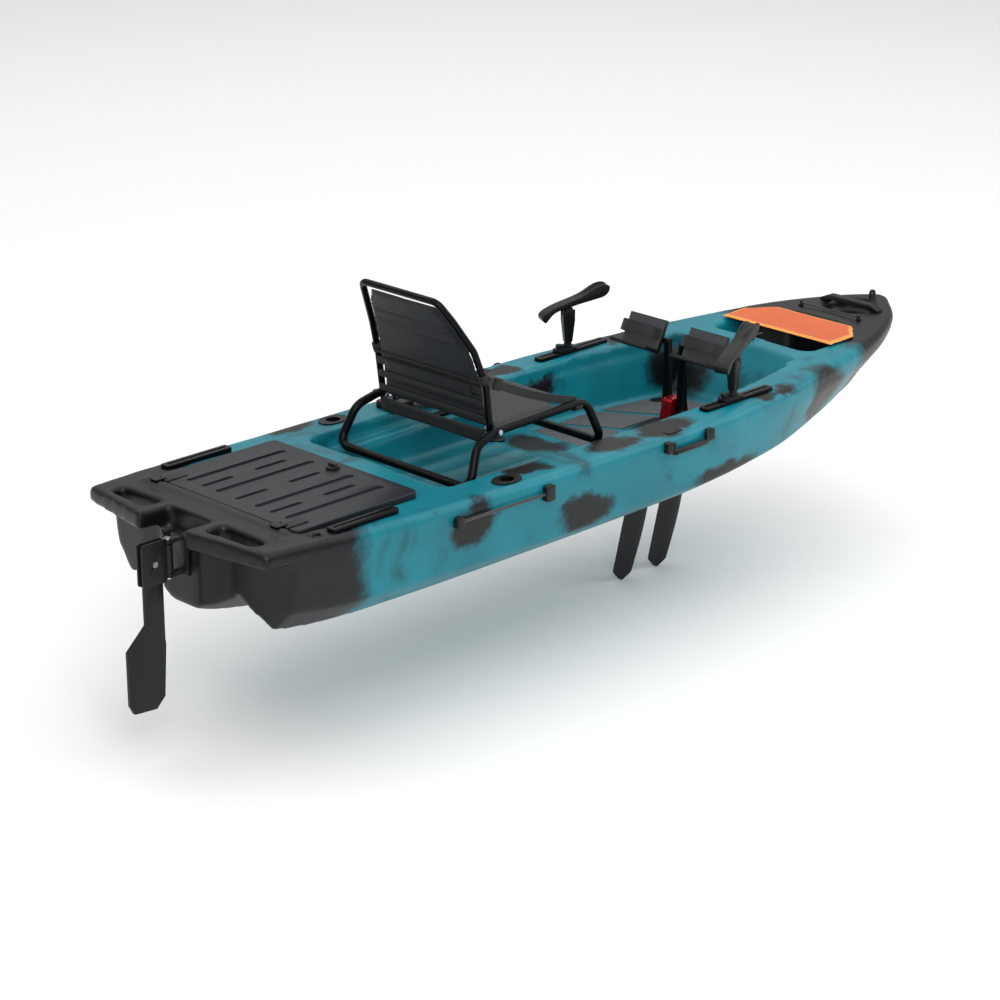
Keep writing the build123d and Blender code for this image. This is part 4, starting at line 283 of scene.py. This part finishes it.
veil = add_node(hull_paint, "ShaderNodeMapRange", {"interpolation_type": "SMOOTHSTEP"},
                Value=smoke.outputs["Fac"])
for socket, value in (("From Min", 0.54), ("From Max", 0.72), ("To Min", 0.0), ("To Max", 0.62)):
    veil.inputs[socket].default_value = value
cover_all = add_node(hull_paint, "ShaderNodeMath", {"operation": "MAXIMUM"},
                     i0=cover_all.outputs[0], i1=veil.outputs["Result"])
painted = add_node(hull_paint, "ShaderNodeMix", {"data_type": "RGBA"}, Factor=cover_all.outputs[0],
                   i6=teal.outputs[2], i7=linear(BLACK_POWDER))
peel = add_node(hull_paint, "ShaderNodeTexNoise", Vector=place, Scale=1000 / 9.0, Detail=2.0)
peel_bump = add_node(hull_paint, "ShaderNodeBump", Height=peel.outputs["Fac"], Strength=0.35, Distance=0.0006)
hull_paint.node_tree.links.new(painted.outputs[2], skin.inputs["Base Color"])
hull_paint.node_tree.links.new(peel_bump.outputs["Normal"], skin.inputs["Normal"])
print("patches", len(PATCHES))

# %% [markdown]
# The other plastics and metals are simpler. Nylon fittings are moulded with a fine grain that scatters the
# light, anodised aluminium keeps its metal glint under a dark or red dye, and stainless steel is bright.

# %% Plastics, rubber and metals
black_nylon, surface = start_material("moulded_nylon", "#17181A", 0.42, Specular_IOR_Level=0.28)
mottle(black_nylon, surface, 1.6, "#0B0C0D", "#131416", 0.36, 0.5, 0.08)
lid_plastic, surface = start_material("moulded_polyethylene_lid", "#22262B", 0.42, Specular_IOR_Level=0.35)
mottle(lid_plastic, surface, 3.0, "#111418", "#1C2025", 0.36, 0.5, 0.15)
seal_rubber, surface = start_material("seal_rubber", "#101112", 0.7)
mottle(seal_rubber, surface, 2.0, "#0C0D0E", "#161718", 0.62, 0.78, 0.05)
fin_rubber, surface = start_material("fin_rubber", "#1D1F22", 0.48, Specular_IOR_Level=0.3)
mottle(fin_rubber, surface, 5.0, "#0E0F10", "#17191B", 0.42, 0.56, 0.1)
black_alloy, surface = start_material("black_anodised_aluminium", "#1A1B1D", 0.34, Metallic=0.85)
mottle(black_alloy, surface, 1.2, "#0E0F10", "#18191B", 0.28, 0.42, 0.02)
red_alloy, surface = start_material("red_anodised_aluminium", "#A5121A", 0.3, Metallic=0.75)
mottle(red_alloy, surface, 1.2, "#8E0D15", "#B5161F", 0.25, 0.38, 0.02)
stainless, surface = start_material("stainless_steel", "#B9BBBD", 0.28, Metallic=1.0)
mottle(stainless, surface, 0.8, "#A7A9AB", "#C6C8CA", 0.22, 0.36, 0.01)
pedal_grey, surface = start_material("grey_moulded_nylon", "#8B8F93", 0.5)
mottle(pedal_grey, surface, 2.0, "#7E8286", "#989CA0", 0.44, 0.58, 0.1)

# %% [markdown]
# The footwell is lined with EVA foam, cut with a fine comb of grooves along the boat so that wet feet grip.
# A wave texture across Y gives the grooves: their bump, and a painted shade that darkens the foam in their
# bottoms.
# Such grooves are usually about 4 mm apart; they are drawn at 9 mm so that they still show from a few metres
# away.

# %% Grooved foam, cloth and webbing
foam, surface = start_material("grooved_eva_foam", "#5E6163", 0.8)
place = object_place(foam)
comb = add_node(foam, "ShaderNodeTexWave",
                {"wave_type": "BANDS", "bands_direction": "Y", "wave_profile": "SIN"},
                Vector=place, Scale=1 / 0.009 / 6.2832 * 2, Distortion=0.0)
groove = add_node(foam, "ShaderNodeMapRange", Value=comb.outputs["Fac"])
groove.inputs["From Min"].default_value = 0.15
groove.inputs["From Max"].default_value = 0.55
grain = add_node(foam, "ShaderNodeTexNoise", Vector=place, Scale=350.0, Detail=3.0)
# Painted shade: the groove bottoms get a darker colour than the foam's top, as if they were in shadow.
groove_painted_shade = add_node(foam, "ShaderNodeMix", {"data_type": "RGBA"}, Factor=groove.outputs["Result"],
                 i6=linear("#2B2D2F"), i7=linear("#686B6D"))
sum_height = add_node(foam, "ShaderNodeMath", {"operation": "MULTIPLY_ADD"},
                      i0=grain.outputs["Fac"], i1=0.12, i2=groove.outputs["Result"])
foam_bump = add_node(foam, "ShaderNodeBump", Height=sum_height.outputs[0], Strength=0.8, Distance=0.0015)
foam.node_tree.links.new(groove_painted_shade.outputs[2], surface.inputs["Base Color"])
foam.node_tree.links.new(foam_bump.outputs["Normal"], surface.inputs["Normal"])


def woven(name, dark_thread, light_thread, thread_mm, roughness, sheen, bump_mm, **shader):
    """Plain weave on the place of the object: two crossed wave textures, with slow cloudy wear."""
    material, surface = start_material(name, dark_thread, roughness, Sheen_Weight=sheen, **shader)
    place = object_place(material)
    waves = []
    for way in ("X", "DIAGONAL"):
        wave = add_node(material, "ShaderNodeTexWave", {"wave_type": "BANDS", "bands_direction": way},
                        Vector=place, Scale=314.16 / thread_mm, Distortion=0.4)
        wave.inputs["Detail Scale"].default_value = 2.0
        waves.append(wave.outputs["Fac"])
    cross = add_node(material, "ShaderNodeMath", {"operation": "MULTIPLY"}, i0=waves[0], i1=waves[1])
    cloud = add_node(material, "ShaderNodeTexNoise", Vector=place, Scale=7.0, Detail=4.0)
    blend = add_node(material, "ShaderNodeMath", {"operation": "MULTIPLY_ADD"},
                     i0=cloud.outputs["Fac"], i1=0.7, i2=cross.outputs[0])
    colour = add_node(material, "ShaderNodeMix", {"data_type": "RGBA"}, Factor=blend.outputs[0],
                      i6=linear(dark_thread), i7=linear(light_thread))
    bump = add_node(material, "ShaderNodeBump", Height=cross.outputs[0], Strength=0.6,
                    Distance=bump_mm / 1000)
    material.node_tree.links.new(colour.outputs[2], surface.inputs["Base Color"])
    material.node_tree.links.new(bump.outputs["Normal"], surface.inputs["Normal"])
    return material


pad_foam, surface = start_material("pedal_pad_foam", "#3A3D40", 0.85)
mottle(pad_foam, surface, 1.5, "#303336", "#45484B", 0.78, 0.9, 0.2)
seat_weave = woven("woven_polyester_seat", "#07080A", "#14161A", 3.0, 0.6, 0.04, 0.25)
pocket_weave = woven("woven_polyester_pocket", "#060708", "#101214", 3.0, 0.66, 0.03, 0.25)
cover_weave = woven("coated_nylon_cover", "#B23D04", "#DB6412", 2.4, 0.55, 0.06, 0.18)
binding_weave = woven("nylon_binding", "#E8832B", "#F6A04C", 2.0, 0.7, 0.08, 0.15)
webbing_weave = woven("nylon_webbing", "#070809", "#15171A", 2.0, 0.66, 0.05, 0.25)
cord_weave = woven("braided_cord", "#0C0D0E", "#2A2C2E", 2.0, 0.6, 0.2, 0.3)
print("materials", len(bpy.data.materials))

# %% [markdown]
# Most fittings keep the CAD shape but lose its knife edges. A real moulding has a radius on every corner, and
# it is that small radius that catches a line of light. So each is copied, its loose triangles are merged back
# into flat faces, and a bevel rounds what is left. The copy then stands in for the CAD node.

# %% Rounding the fittings
BODY_OF = {node: body for body, members in frame["record"]["behaviour"]["bodies"].items() for node in members}


def only(piece):
    """Makes one piece the only one selected and active."""
    bpy.ops.object.select_all(action="DESELECT")
    piece.select_set(True)
    bpy.context.view_layer.objects.active = piece


def copy_of(node, name):
    """A copy of a CAD node with its own mesh, its triangles merged."""
    piece = bpy.data.objects.new(name, nodes[node].data.copy())
    bpy.context.scene.collection.objects.link(piece)
    piece.data.materials.clear()
    only(piece)
    bpy.ops.object.mode_set(mode="EDIT")
    bpy.ops.mesh.select_all(action="SELECT")
    bpy.ops.mesh.remove_doubles(threshold=0.00002)
    bpy.ops.object.mode_set(mode="OBJECT")
    return piece


def finish_with(piece, kind, **settings):
    """Adds a modifier with its settings and applies it."""
    modifier = piece.modifiers.new(kind.lower(), kind)
    for name, value in settings.items():
        setattr(modifier, name, value)
    only(piece)
    bpy.ops.object.modifier_apply(modifier=modifier.name)


def stand_in(piece, node, material):
    """The piece takes the node's place and body, and gets its material."""
    piece.data.materials.clear()
    piece.data.materials.append(material)
    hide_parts(node)
    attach(piece, BODY_OF[node])


def add_on(piece, body, material):
    """A piece with no CAD node of its own: it rides on a body and gets its material."""
    piece.data.materials.clear()
    piece.data.materials.append(material)
    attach(piece, body)


def rounded(node, material, width_mm=1.5, segments=2, angle=32):
    """A copy of a CAD node with its sharp edges rounded."""
    piece = copy_of(node, node + "_finished")
    bpy.ops.object.mode_set(mode="EDIT")
    bpy.ops.mesh.dissolve_limited(angle_limit=math.radians(1.5))
    bpy.ops.object.mode_set(mode="OBJECT")
    finish_with(piece, "BEVEL", width=width_mm / 1000, segments=segments, limit_method="ANGLE",
                angle_limit=math.radians(angle), use_clamp_overlap=True)
    only(piece)
    bpy.ops.object.shade_smooth_by_angle(angle=math.radians(38))
    stand_in(piece, node, material)
    return piece


ROUNDED = [
    ("hatch_lid", lid_plastic, 3.0), ("hatch_hinges", black_nylon, 0.8), ("hinge_brackets", black_nylon, 0.8),
    ("hatch_latch", black_nylon, 1.2), ("bow_handle", black_nylon, 3.0), ("bow_eye", black_nylon, 1.5),
    ("cover_hooks", black_nylon, 0.8), ("badge_plates", black_nylon, 0.8), ("deck_plug", black_nylon, 0.8),
    ("scupper_plugs", black_nylon, 0.8), ("side_pads", black_nylon, 1.5), ("lever_box", black_nylon, 1.5),
    ("rudder_bracket", black_nylon, 1.2), ("rudder_head", black_nylon, 1.5),
    ("rudder_blade", black_nylon, 3.5),
    ("drive_body", black_nylon, 2.0), ("drive_spine", red_alloy, 1.5), ("crank_port", black_alloy, 1.5),
    ("crank_starboard", black_alloy, 1.5), ("pedal_port", black_nylon, 2.0),
    ("pedal_starboard", black_nylon, 2.0),
    ("gear_tracks", black_alloy, 0.5), ("stern_tracks", black_alloy, 0.5), ("seat_rails", black_alloy, 1.2),
    ("rod_foot_port", black_nylon, 1.0), ("rod_foot_starboard", black_nylon, 1.0),
    ("rod_post_port", black_nylon, 0.8), ("rod_post_starboard", black_nylon, 0.8),
    ("rod_cradle_port", black_nylon, 1.0), ("rod_cradle_starboard", black_nylon, 1.0),
    ("carry_handle_port", black_nylon, 1.0), ("carry_handle_starboard", black_nylon, 1.0),
    ("footwell_mats", foam, 1.0),
]
finished = {node: rounded(node, material, width_mm) for node, material, width_mm in ROUNDED}
print("rounded", len(ROUNDED))

# %% [markdown]
# Round tubes, pins and small screws are already smooth enough. They keep their CAD mesh, which may not be
# changed, and only their finish is new.

# %% Finishes on the CAD meshes
KEPT = {
    "hatch_seal": seal_rubber, "cover_cord": cord_weave, "keeper_cords": cord_weave,
    "track_screws": stainless,
    "hatch_hinge_pins": stainless, "rudder_pin": stainless, "crank_axle": stainless, "fin_shaft": stainless,
    "drive_chains": stainless, "seat_frame": black_alloy, "seat_bolts": stainless, "back_frame": black_alloy,
    "mast_front": stainless, "mast_rear": stainless, "fin_front": fin_rubber, "fin_rear": fin_rubber,
    "rudder_bolt": stainless, "rudder_lever": black_nylon, "flush_rod_holders": black_nylon,
}
for node, material in KEPT.items():
    mesh = nodes[node].data
    mesh.materials.clear()
    mesh.materials.append(material)
    only(nodes[node])
    bpy.ops.object.shade_smooth_by_angle(angle=math.radians(35))
print("kept", len(KEPT))

# %% [markdown]
# The hull is one hollow moulding with walls 5 mm thick. Only its outer skin shows, so the inner skin is taken
# away, which leaves a solid that a voxel remesh can rebuild as an even grid. Smoothing that grid rounds every
# edge by about a centimetre, as the powder leaves it in the mould. What is lower than a voxel is lost, such
# as the ribs between the mats. The rod holders' holes and the latch's pocket are cut afterwards.

# %% Hull
hull_skin = copy_of("hull", "hull_skin")
LEAN = Vector((-math.sin(math.radians(22)), 0, math.cos(math.radians(22))))
ROD_HOLDER_RIM = (-0.597, 0.3595, 0.193)
rim_x, rim_y, rim_z = ROD_HOLDER_RIM
tube_rims = [Vector((rim_x, side * rim_y, rim_z)) for side in (1, -1)]


def in_tube_hole(spot, normal):
    """Whether a face is on the wall of a hole that a rod holder's tube passes through."""
    for rim in tube_rims:
        arm = spot - rim
        rise = arm.dot(LEAN)
        if (arm - LEAN * rise).length < 0.0258 and abs(rise) < 0.045 and abs(normal.dot(LEAN)) < 0.3:
            return True
    return False


for part in (*hull_skin.data.polygons, *hull_skin.data.edges, *hull_skin.data.vertices):
    part.select = False
for face in hull_skin.data.polygons:
    at_tip = face.center.x > hull_high.x - 0.0005 and abs(face.normal.x) > 0.9
    face.select = at_tip or in_tube_hole(face.center, face.normal)
only(hull_skin)
bpy.ops.object.mode_set(mode="EDIT")
bpy.ops.mesh.select_mode(type="FACE")
bpy.ops.mesh.delete(type="FACE")
bpy.ops.mesh.select_all(action="SELECT")
bpy.ops.mesh.separate(type="LOOSE")
bpy.ops.object.mode_set(mode="OBJECT")
shells = sorted(bpy.context.selected_objects, key=lambda shell: shell.dimensions.y)
print("shells", [tuple(round(v, 3) for v in shell.dimensions) for shell in shells])
hull_skin = shells.pop()
for shell in shells:
    bpy.data.objects.remove(shell)
hull_skin.name = "hull_skin"
only(hull_skin)
bpy.ops.object.mode_set(mode="EDIT")
bpy.ops.mesh.select_all(action="SELECT")
bpy.ops.mesh.fill_holes(sides=0)
bpy.ops.object.mode_set(mode="OBJECT")
finish_with(hull_skin, "REMESH", mode="VOXEL", voxel_size=0.0094)
finish_with(hull_skin, "SMOOTH", factor=0.5, iterations=7)
for rim in tube_rims:
    bpy.ops.object.select_all(action="DESELECT")
    bpy.ops.mesh.primitive_cylinder_add(vertices=48, radius=0.0252, depth=0.3, location=rim - LEAN * 0.045)
    drill = bpy.context.object
    drill.rotation_euler = LEAN.to_track_quat("Z", "Y").to_euler()
    finish_with(hull_skin, "BOOLEAN", operation="DIFFERENCE", object=drill, solver="EXACT")
    bpy.data.objects.remove(drill)
bpy.ops.object.select_all(action="DESELECT")
bpy.ops.mesh.primitive_cube_add(size=1, location=(-0.8925, 0, 0.178))
pocket = bpy.context.object
pocket.scale = (0.041, 0.086, 0.0155)
finish_with(hull_skin, "BOOLEAN", operation="DIFFERENCE", object=pocket, solver="EXACT")
bpy.data.objects.remove(pocket)
only(hull_skin)
bpy.ops.object.shade_smooth_by_angle(angle=math.radians(50))
stand_in(hull_skin, "hull", hull_paint)
print("hull triangles", sum(len(face.vertices) - 2 for face in hull_skin.data.polygons))

# %% [markdown]
# Cloth is never flat. The seat and its back are slings of woven polyester, drawn between the tubes, so
# they swell between their edges. Each starts from its CAD slab, rebuilt as an even grid, and is blown up a
# little by the cloth simulation. A cap keeps every point near its slab.

# %% Padded cloth


def inflate(node, name, material, voxel, pressure, cap):
    """The CAD slab, swollen by the cloth simulation, at most by the cap."""
    piece = copy_of(node, name)
    finish_with(piece, "REMESH", mode="VOXEL", voxel_size=voxel)
    rest = [corner.co.copy() for corner in piece.data.vertices]
    cloth = piece.modifiers.new("cloth", "CLOTH")
    cloth.settings.use_pressure = True
    cloth.settings.uniform_pressure_force = pressure
    cloth.settings.effector_weights.gravity = 0
    cloth.settings.quality = 4
    cloth.point_cache.frame_start = 1
    cloth.point_cache.frame_end = 20
    for step in range(1, 21):
        bpy.context.scene.frame_set(step)
    seen = piece.evaluated_get(bpy.context.evaluated_depsgraph_get()).data
    moved = [corner.co.copy() for corner in seen.vertices]
    piece.modifiers.remove(cloth)
    for corner, start, end in zip(piece.data.vertices, rest, moved):
        shift = end - start
        if shift.length > cap:
            shift = shift.normalized() * cap
        corner.co = start + shift
    bpy.context.scene.frame_set(1)
    furthest = max((corner.co - start).length for corner, start in zip(piece.data.vertices, rest))
    print(name, "moved up to", round(furthest, 4))
    finish_with(piece, "SMOOTH", factor=0.5, iterations=2)
    finish_with(piece, "SUBSURF", levels=1, render_levels=1)
    only(piece)
    bpy.ops.object.shade_smooth()
    stand_in(piece, node, material)
    return piece


inflate("seat_cloth", "seat_sling", seat_weave, 0.006, 4.0, 0.007)
back_sling = inflate("back_cloth", "back_sling", seat_weave, 0.0055, 3.0, 0.005)
back_pocket = inflate("back_pocket", "back_pocket_cloth", pocket_weave, 0.005, 1.5, 0.003)
cover_sheet = inflate("bow_cover", "bow_cover_cloth", cover_weave, 0.006, 2.0, 0.004)

# %% [markdown]
# The bow cover is a flat piece of coated cloth, stretched over the bow well. Its rim is bound with a lighter
# tape, and the cloth between is drawn into shallow creases by two slow noises, one along and one across.

# %% Creases and binding of the bow cover
rim = [corner.co for corner in cover_sheet.data.vertices if abs(corner.normal.z) < 0.35]
tree = KDTree(len(rim))
for index, spot in enumerate(rim):
    tree.insert(spot, index)
tree.balance()
for corner in cover_sheet.data.vertices:
    depth = tree.find(corner.co)[2]
    swell = min(1.0, depth / 0.05)
    crease = noise.noise(Vector((corner.co.x * 9, corner.co.y * 26, 1.0)))
    fold = noise.noise(Vector((corner.co.x * 24, corner.co.y * 9, 5.0)))
    corner.co.z += swell * (0.0035 * crease + 0.0025 * fold)
cover_sheet.data.materials.append(binding_weave)
for face in cover_sheet.data.polygons:
    if tree.find(face.center)[2] < 0.013:
        face.material_index = 1
print("bound faces", sum(face.material_index for face in cover_sheet.data.polygons))

# %% [markdown]
# The straps that hold the back up are flat nylon webbing. A strip is drawn along its line with a little sag
# and a slight twist, and at each end it meets a loop of the same webbing round the tube.

# %% Side straps
strap_low, strap_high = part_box("seat_straps")


def strip(name, path, across, width, thick, cuts):
    """A flat band along a path: a plane, cut across, laid on the path and given its thickness."""
    bpy.ops.object.select_all(action="DESELECT")
    bpy.ops.mesh.primitive_plane_add(size=1, location=(0, 0, 0))
    band = bpy.context.object
    band.name = name
    bpy.ops.object.mode_set(mode="EDIT")
    bpy.ops.mesh.select_all(action="SELECT")
    bpy.ops.mesh.subdivide(number_cuts=cuts)
    bpy.ops.object.mode_set(mode="OBJECT")
    for corner in band.data.vertices:
        share = corner.co.x + 0.5
        side = across(share)
        corner.co = path(share) + side * (corner.co.y * width)
    finish_with(band, "SOLIDIFY", thickness=thick, offset=0)
    finish_with(band, "BEVEL", width=thick * 0.3, segments=2)
    only(band)
    bpy.ops.object.shade_smooth_by_angle(angle=math.radians(40))
    return band


def sleeve(name, place, along, radius, body):
    """A loop of webbing sewn round a tube."""
    bpy.ops.object.select_all(action="DESELECT")
    bpy.ops.mesh.primitive_cylinder_add(vertices=40, radius=radius, depth=0.027, location=(0, 0, 0))
    loop = bpy.context.object
    loop.name = name
    turn = Vector(along).to_track_quat("Z", "Y").to_matrix()
    for corner in loop.data.vertices:
        corner.co = turn @ corner.co + Vector(place)
    finish_with(loop, "BEVEL", width=0.0012, segments=2, limit_method="ANGLE", angle_limit=math.radians(40))
    only(loop)
    bpy.ops.object.shade_smooth_by_angle(angle=math.radians(40))
    add_on(loop, body, webbing_weave)


SEAT_TUBE_TOP = 0.2995
SEAT_TUBE_Z = 0.285
SEAT_TUBE_Y = 0.2435
BACK_TUBE_Y = 0.2185


def strap_ends(side):
    """The strap's end beside the back's tube, and its end on top of the seat's tube."""
    behind = Vector((strap_low.x + 0.004, side * (BACK_TUBE_Y + 0.015), strap_high.z - 0.014))
    return behind, Vector((strap_high.x - 0.03, side * SEAT_TUBE_Y, SEAT_TUBE_TOP))


for word, side in (("port", 1), ("starboard", -1)):
    behind, ahead = strap_ends(side)

    def hang(share, behind=behind, ahead=ahead):
        sag = 0.012 * 4 * share * (1 - share)
        return behind.lerp(ahead, share) - Vector((0, 0, sag))

    def face(share, side=side):
        turn = math.radians(14) * math.sin(share * math.pi)
        return Vector((0.25 * math.cos(turn), side * math.sin(turn), math.cos(turn))).normalized()

    strap = strip("side_strap_" + word, hang, face, 0.025, 0.0022, 28)
    strap.data.materials.append(webbing_weave)
    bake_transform(strap)
    if side == 1:
        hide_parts("seat_straps")
    back_spot = (-0.5445, side * BACK_TUBE_Y, 0.437)
    sleeve("strap_loop_back_" + word, back_spot, (-0.31, 0, 0.95), 0.0148, "seat_back")
    seat_spot = (ahead.x, side * SEAT_TUBE_Y, SEAT_TUBE_Z)
    sleeve("strap_loop_seat_" + word, seat_spot, (1, 0, 0), 0.0152, "seat")
print("straps between", [round(v, 3) for v in strap_low], [round(v, 3) for v in strap_high])

# %% [markdown]
# Each side strap is pulled tight with a ladder buckle near the back. A pedal has a foam pad on its tread and
# a strap over the foot, which is a band of webbing in an arch.

# %% Buckles, pads and foot straps


def block(name, place, size, material, body, turn=(0, 0, 0), round_mm=1.0):
    """A small moulded block with rounded edges, at the origin, its size and turn put into its mesh."""
    bpy.ops.object.select_all(action="DESELECT")
    bpy.ops.mesh.primitive_cube_add(size=1, location=(0, 0, 0))
    piece = bpy.context.object
    piece.name = name
    frame_turn = Euler(turn).to_matrix()
    for corner in piece.data.vertices:
        corner.co = frame_turn @ Vector([c * s for c, s in zip(corner.co, size)]) + Vector(place)
    finish_with(piece, "BEVEL", width=round_mm / 1000, segments=2)
    only(piece)
    bpy.ops.object.shade_smooth_by_angle(angle=math.radians(40))
    add_on(piece, body, material)
    return piece


for word, side in (("port", 1), ("starboard", -1)):
    start, end = strap_ends(side)
    lean_down = math.atan2(start.z - end.z, end.x - start.x)
    spot = start.lerp(end, 0.1) - Vector((0, 0, 0.0043))
    block("strap_buckle_" + word, spot, (0.030, 0.0075, 0.034), black_nylon, "seat_back",
          (0, lean_down, 0), 1.5)

for word, side in (("port", 1), ("starboard", -1)):
    pedal = finished["pedal_" + word]
    tread = max((face for face in pedal.data.polygons if face.normal.z > 0.1), key=lambda face: face.area)
    up = tread.normal.copy()
    middle_of_tread = tread.center.copy()
    long_way = up.cross(Vector((0, 1, 0))).normalized()
    pedal.data.materials.append(pad_foam)
    for face in pedal.data.polygons:
        if face.normal.dot(up) > 0.995 and face.area > 0.0004:
            face.material_index = 1
    low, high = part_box("pedal_" + word)
    half = (high.y - low.y) / 2 - 0.003

    def arch(share, centre=middle_of_tread, up=up, half=half):
        angle = math.pi * share
        lift = 0.004 + 0.052 * math.sin(angle) ** 0.7
        return centre + Vector((0, -math.cos(angle) * half, 0)) + up * lift

    def width_way(share, way=long_way):
        return way

    strap = strip("foot_strap_" + word, arch, width_way, 0.036, 0.003, 24)
    add_on(strap, "pedal_" + word, webbing_weave)
    print(word, "tread", [round(v, 3) for v in middle_of_tread], "half width", round(half, 3))

# %% [markdown]
# The back of the seat has three bands of webbing sewn across it, and its lower part is a pocket. Each band is
# laid on the cloth by casting rays at it from behind.

# %% Bands across the back
BANDS = [(0.395, 0.175, 0.030), (0.545, 0.165, 0.022), (0.575, 0.155, 0.010)]
for number, (height, half, width) in enumerate(BANDS):
    spots = []
    for step in range(25):
        y = half * (step / 12 - 1)
        best = None
        for piece in (back_sling, back_pocket):
            hit, spot, normal, index = piece.ray_cast(Vector((-1.2, y, height)), Vector((1, 0, 0)))
            if hit and (best is None or spot.x < best.x):
                best = spot.copy()
        spots.append(best)
    known = [spot for spot in spots if spot is not None]
    if len(known) < 20:
        print("band", number, "found the cloth at", len(known))
        continue
    spots = [spot if spot is not None else min(known, key=lambda k: abs(k.y - half * (step / 12 - 1)))
             for step, spot in enumerate(spots)]

    def on_cloth(share, spots=spots):
        place = share * 24
        low = min(int(place), 23)
        return spots[low].lerp(spots[low + 1], place - low) - Vector((0.0012, 0, 0))

    def upright(share):
        return Vector((-0.3, 0, 0.954))

    band = strip("back_band_%d" % number, on_cloth, upright, width, 0.0016, 24)
    add_on(band, "seat_back", webbing_weave)
print("bands", len(BANDS))

# %% [markdown]
# Last, the box of the finished model is written beside the CAD box, to see that nothing has outgrown it.

low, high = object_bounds()
print("grown by mm", [round((a - b) * 1000, 1) for a, b in zip((*low, *high), (*cad_low, *cad_high))])
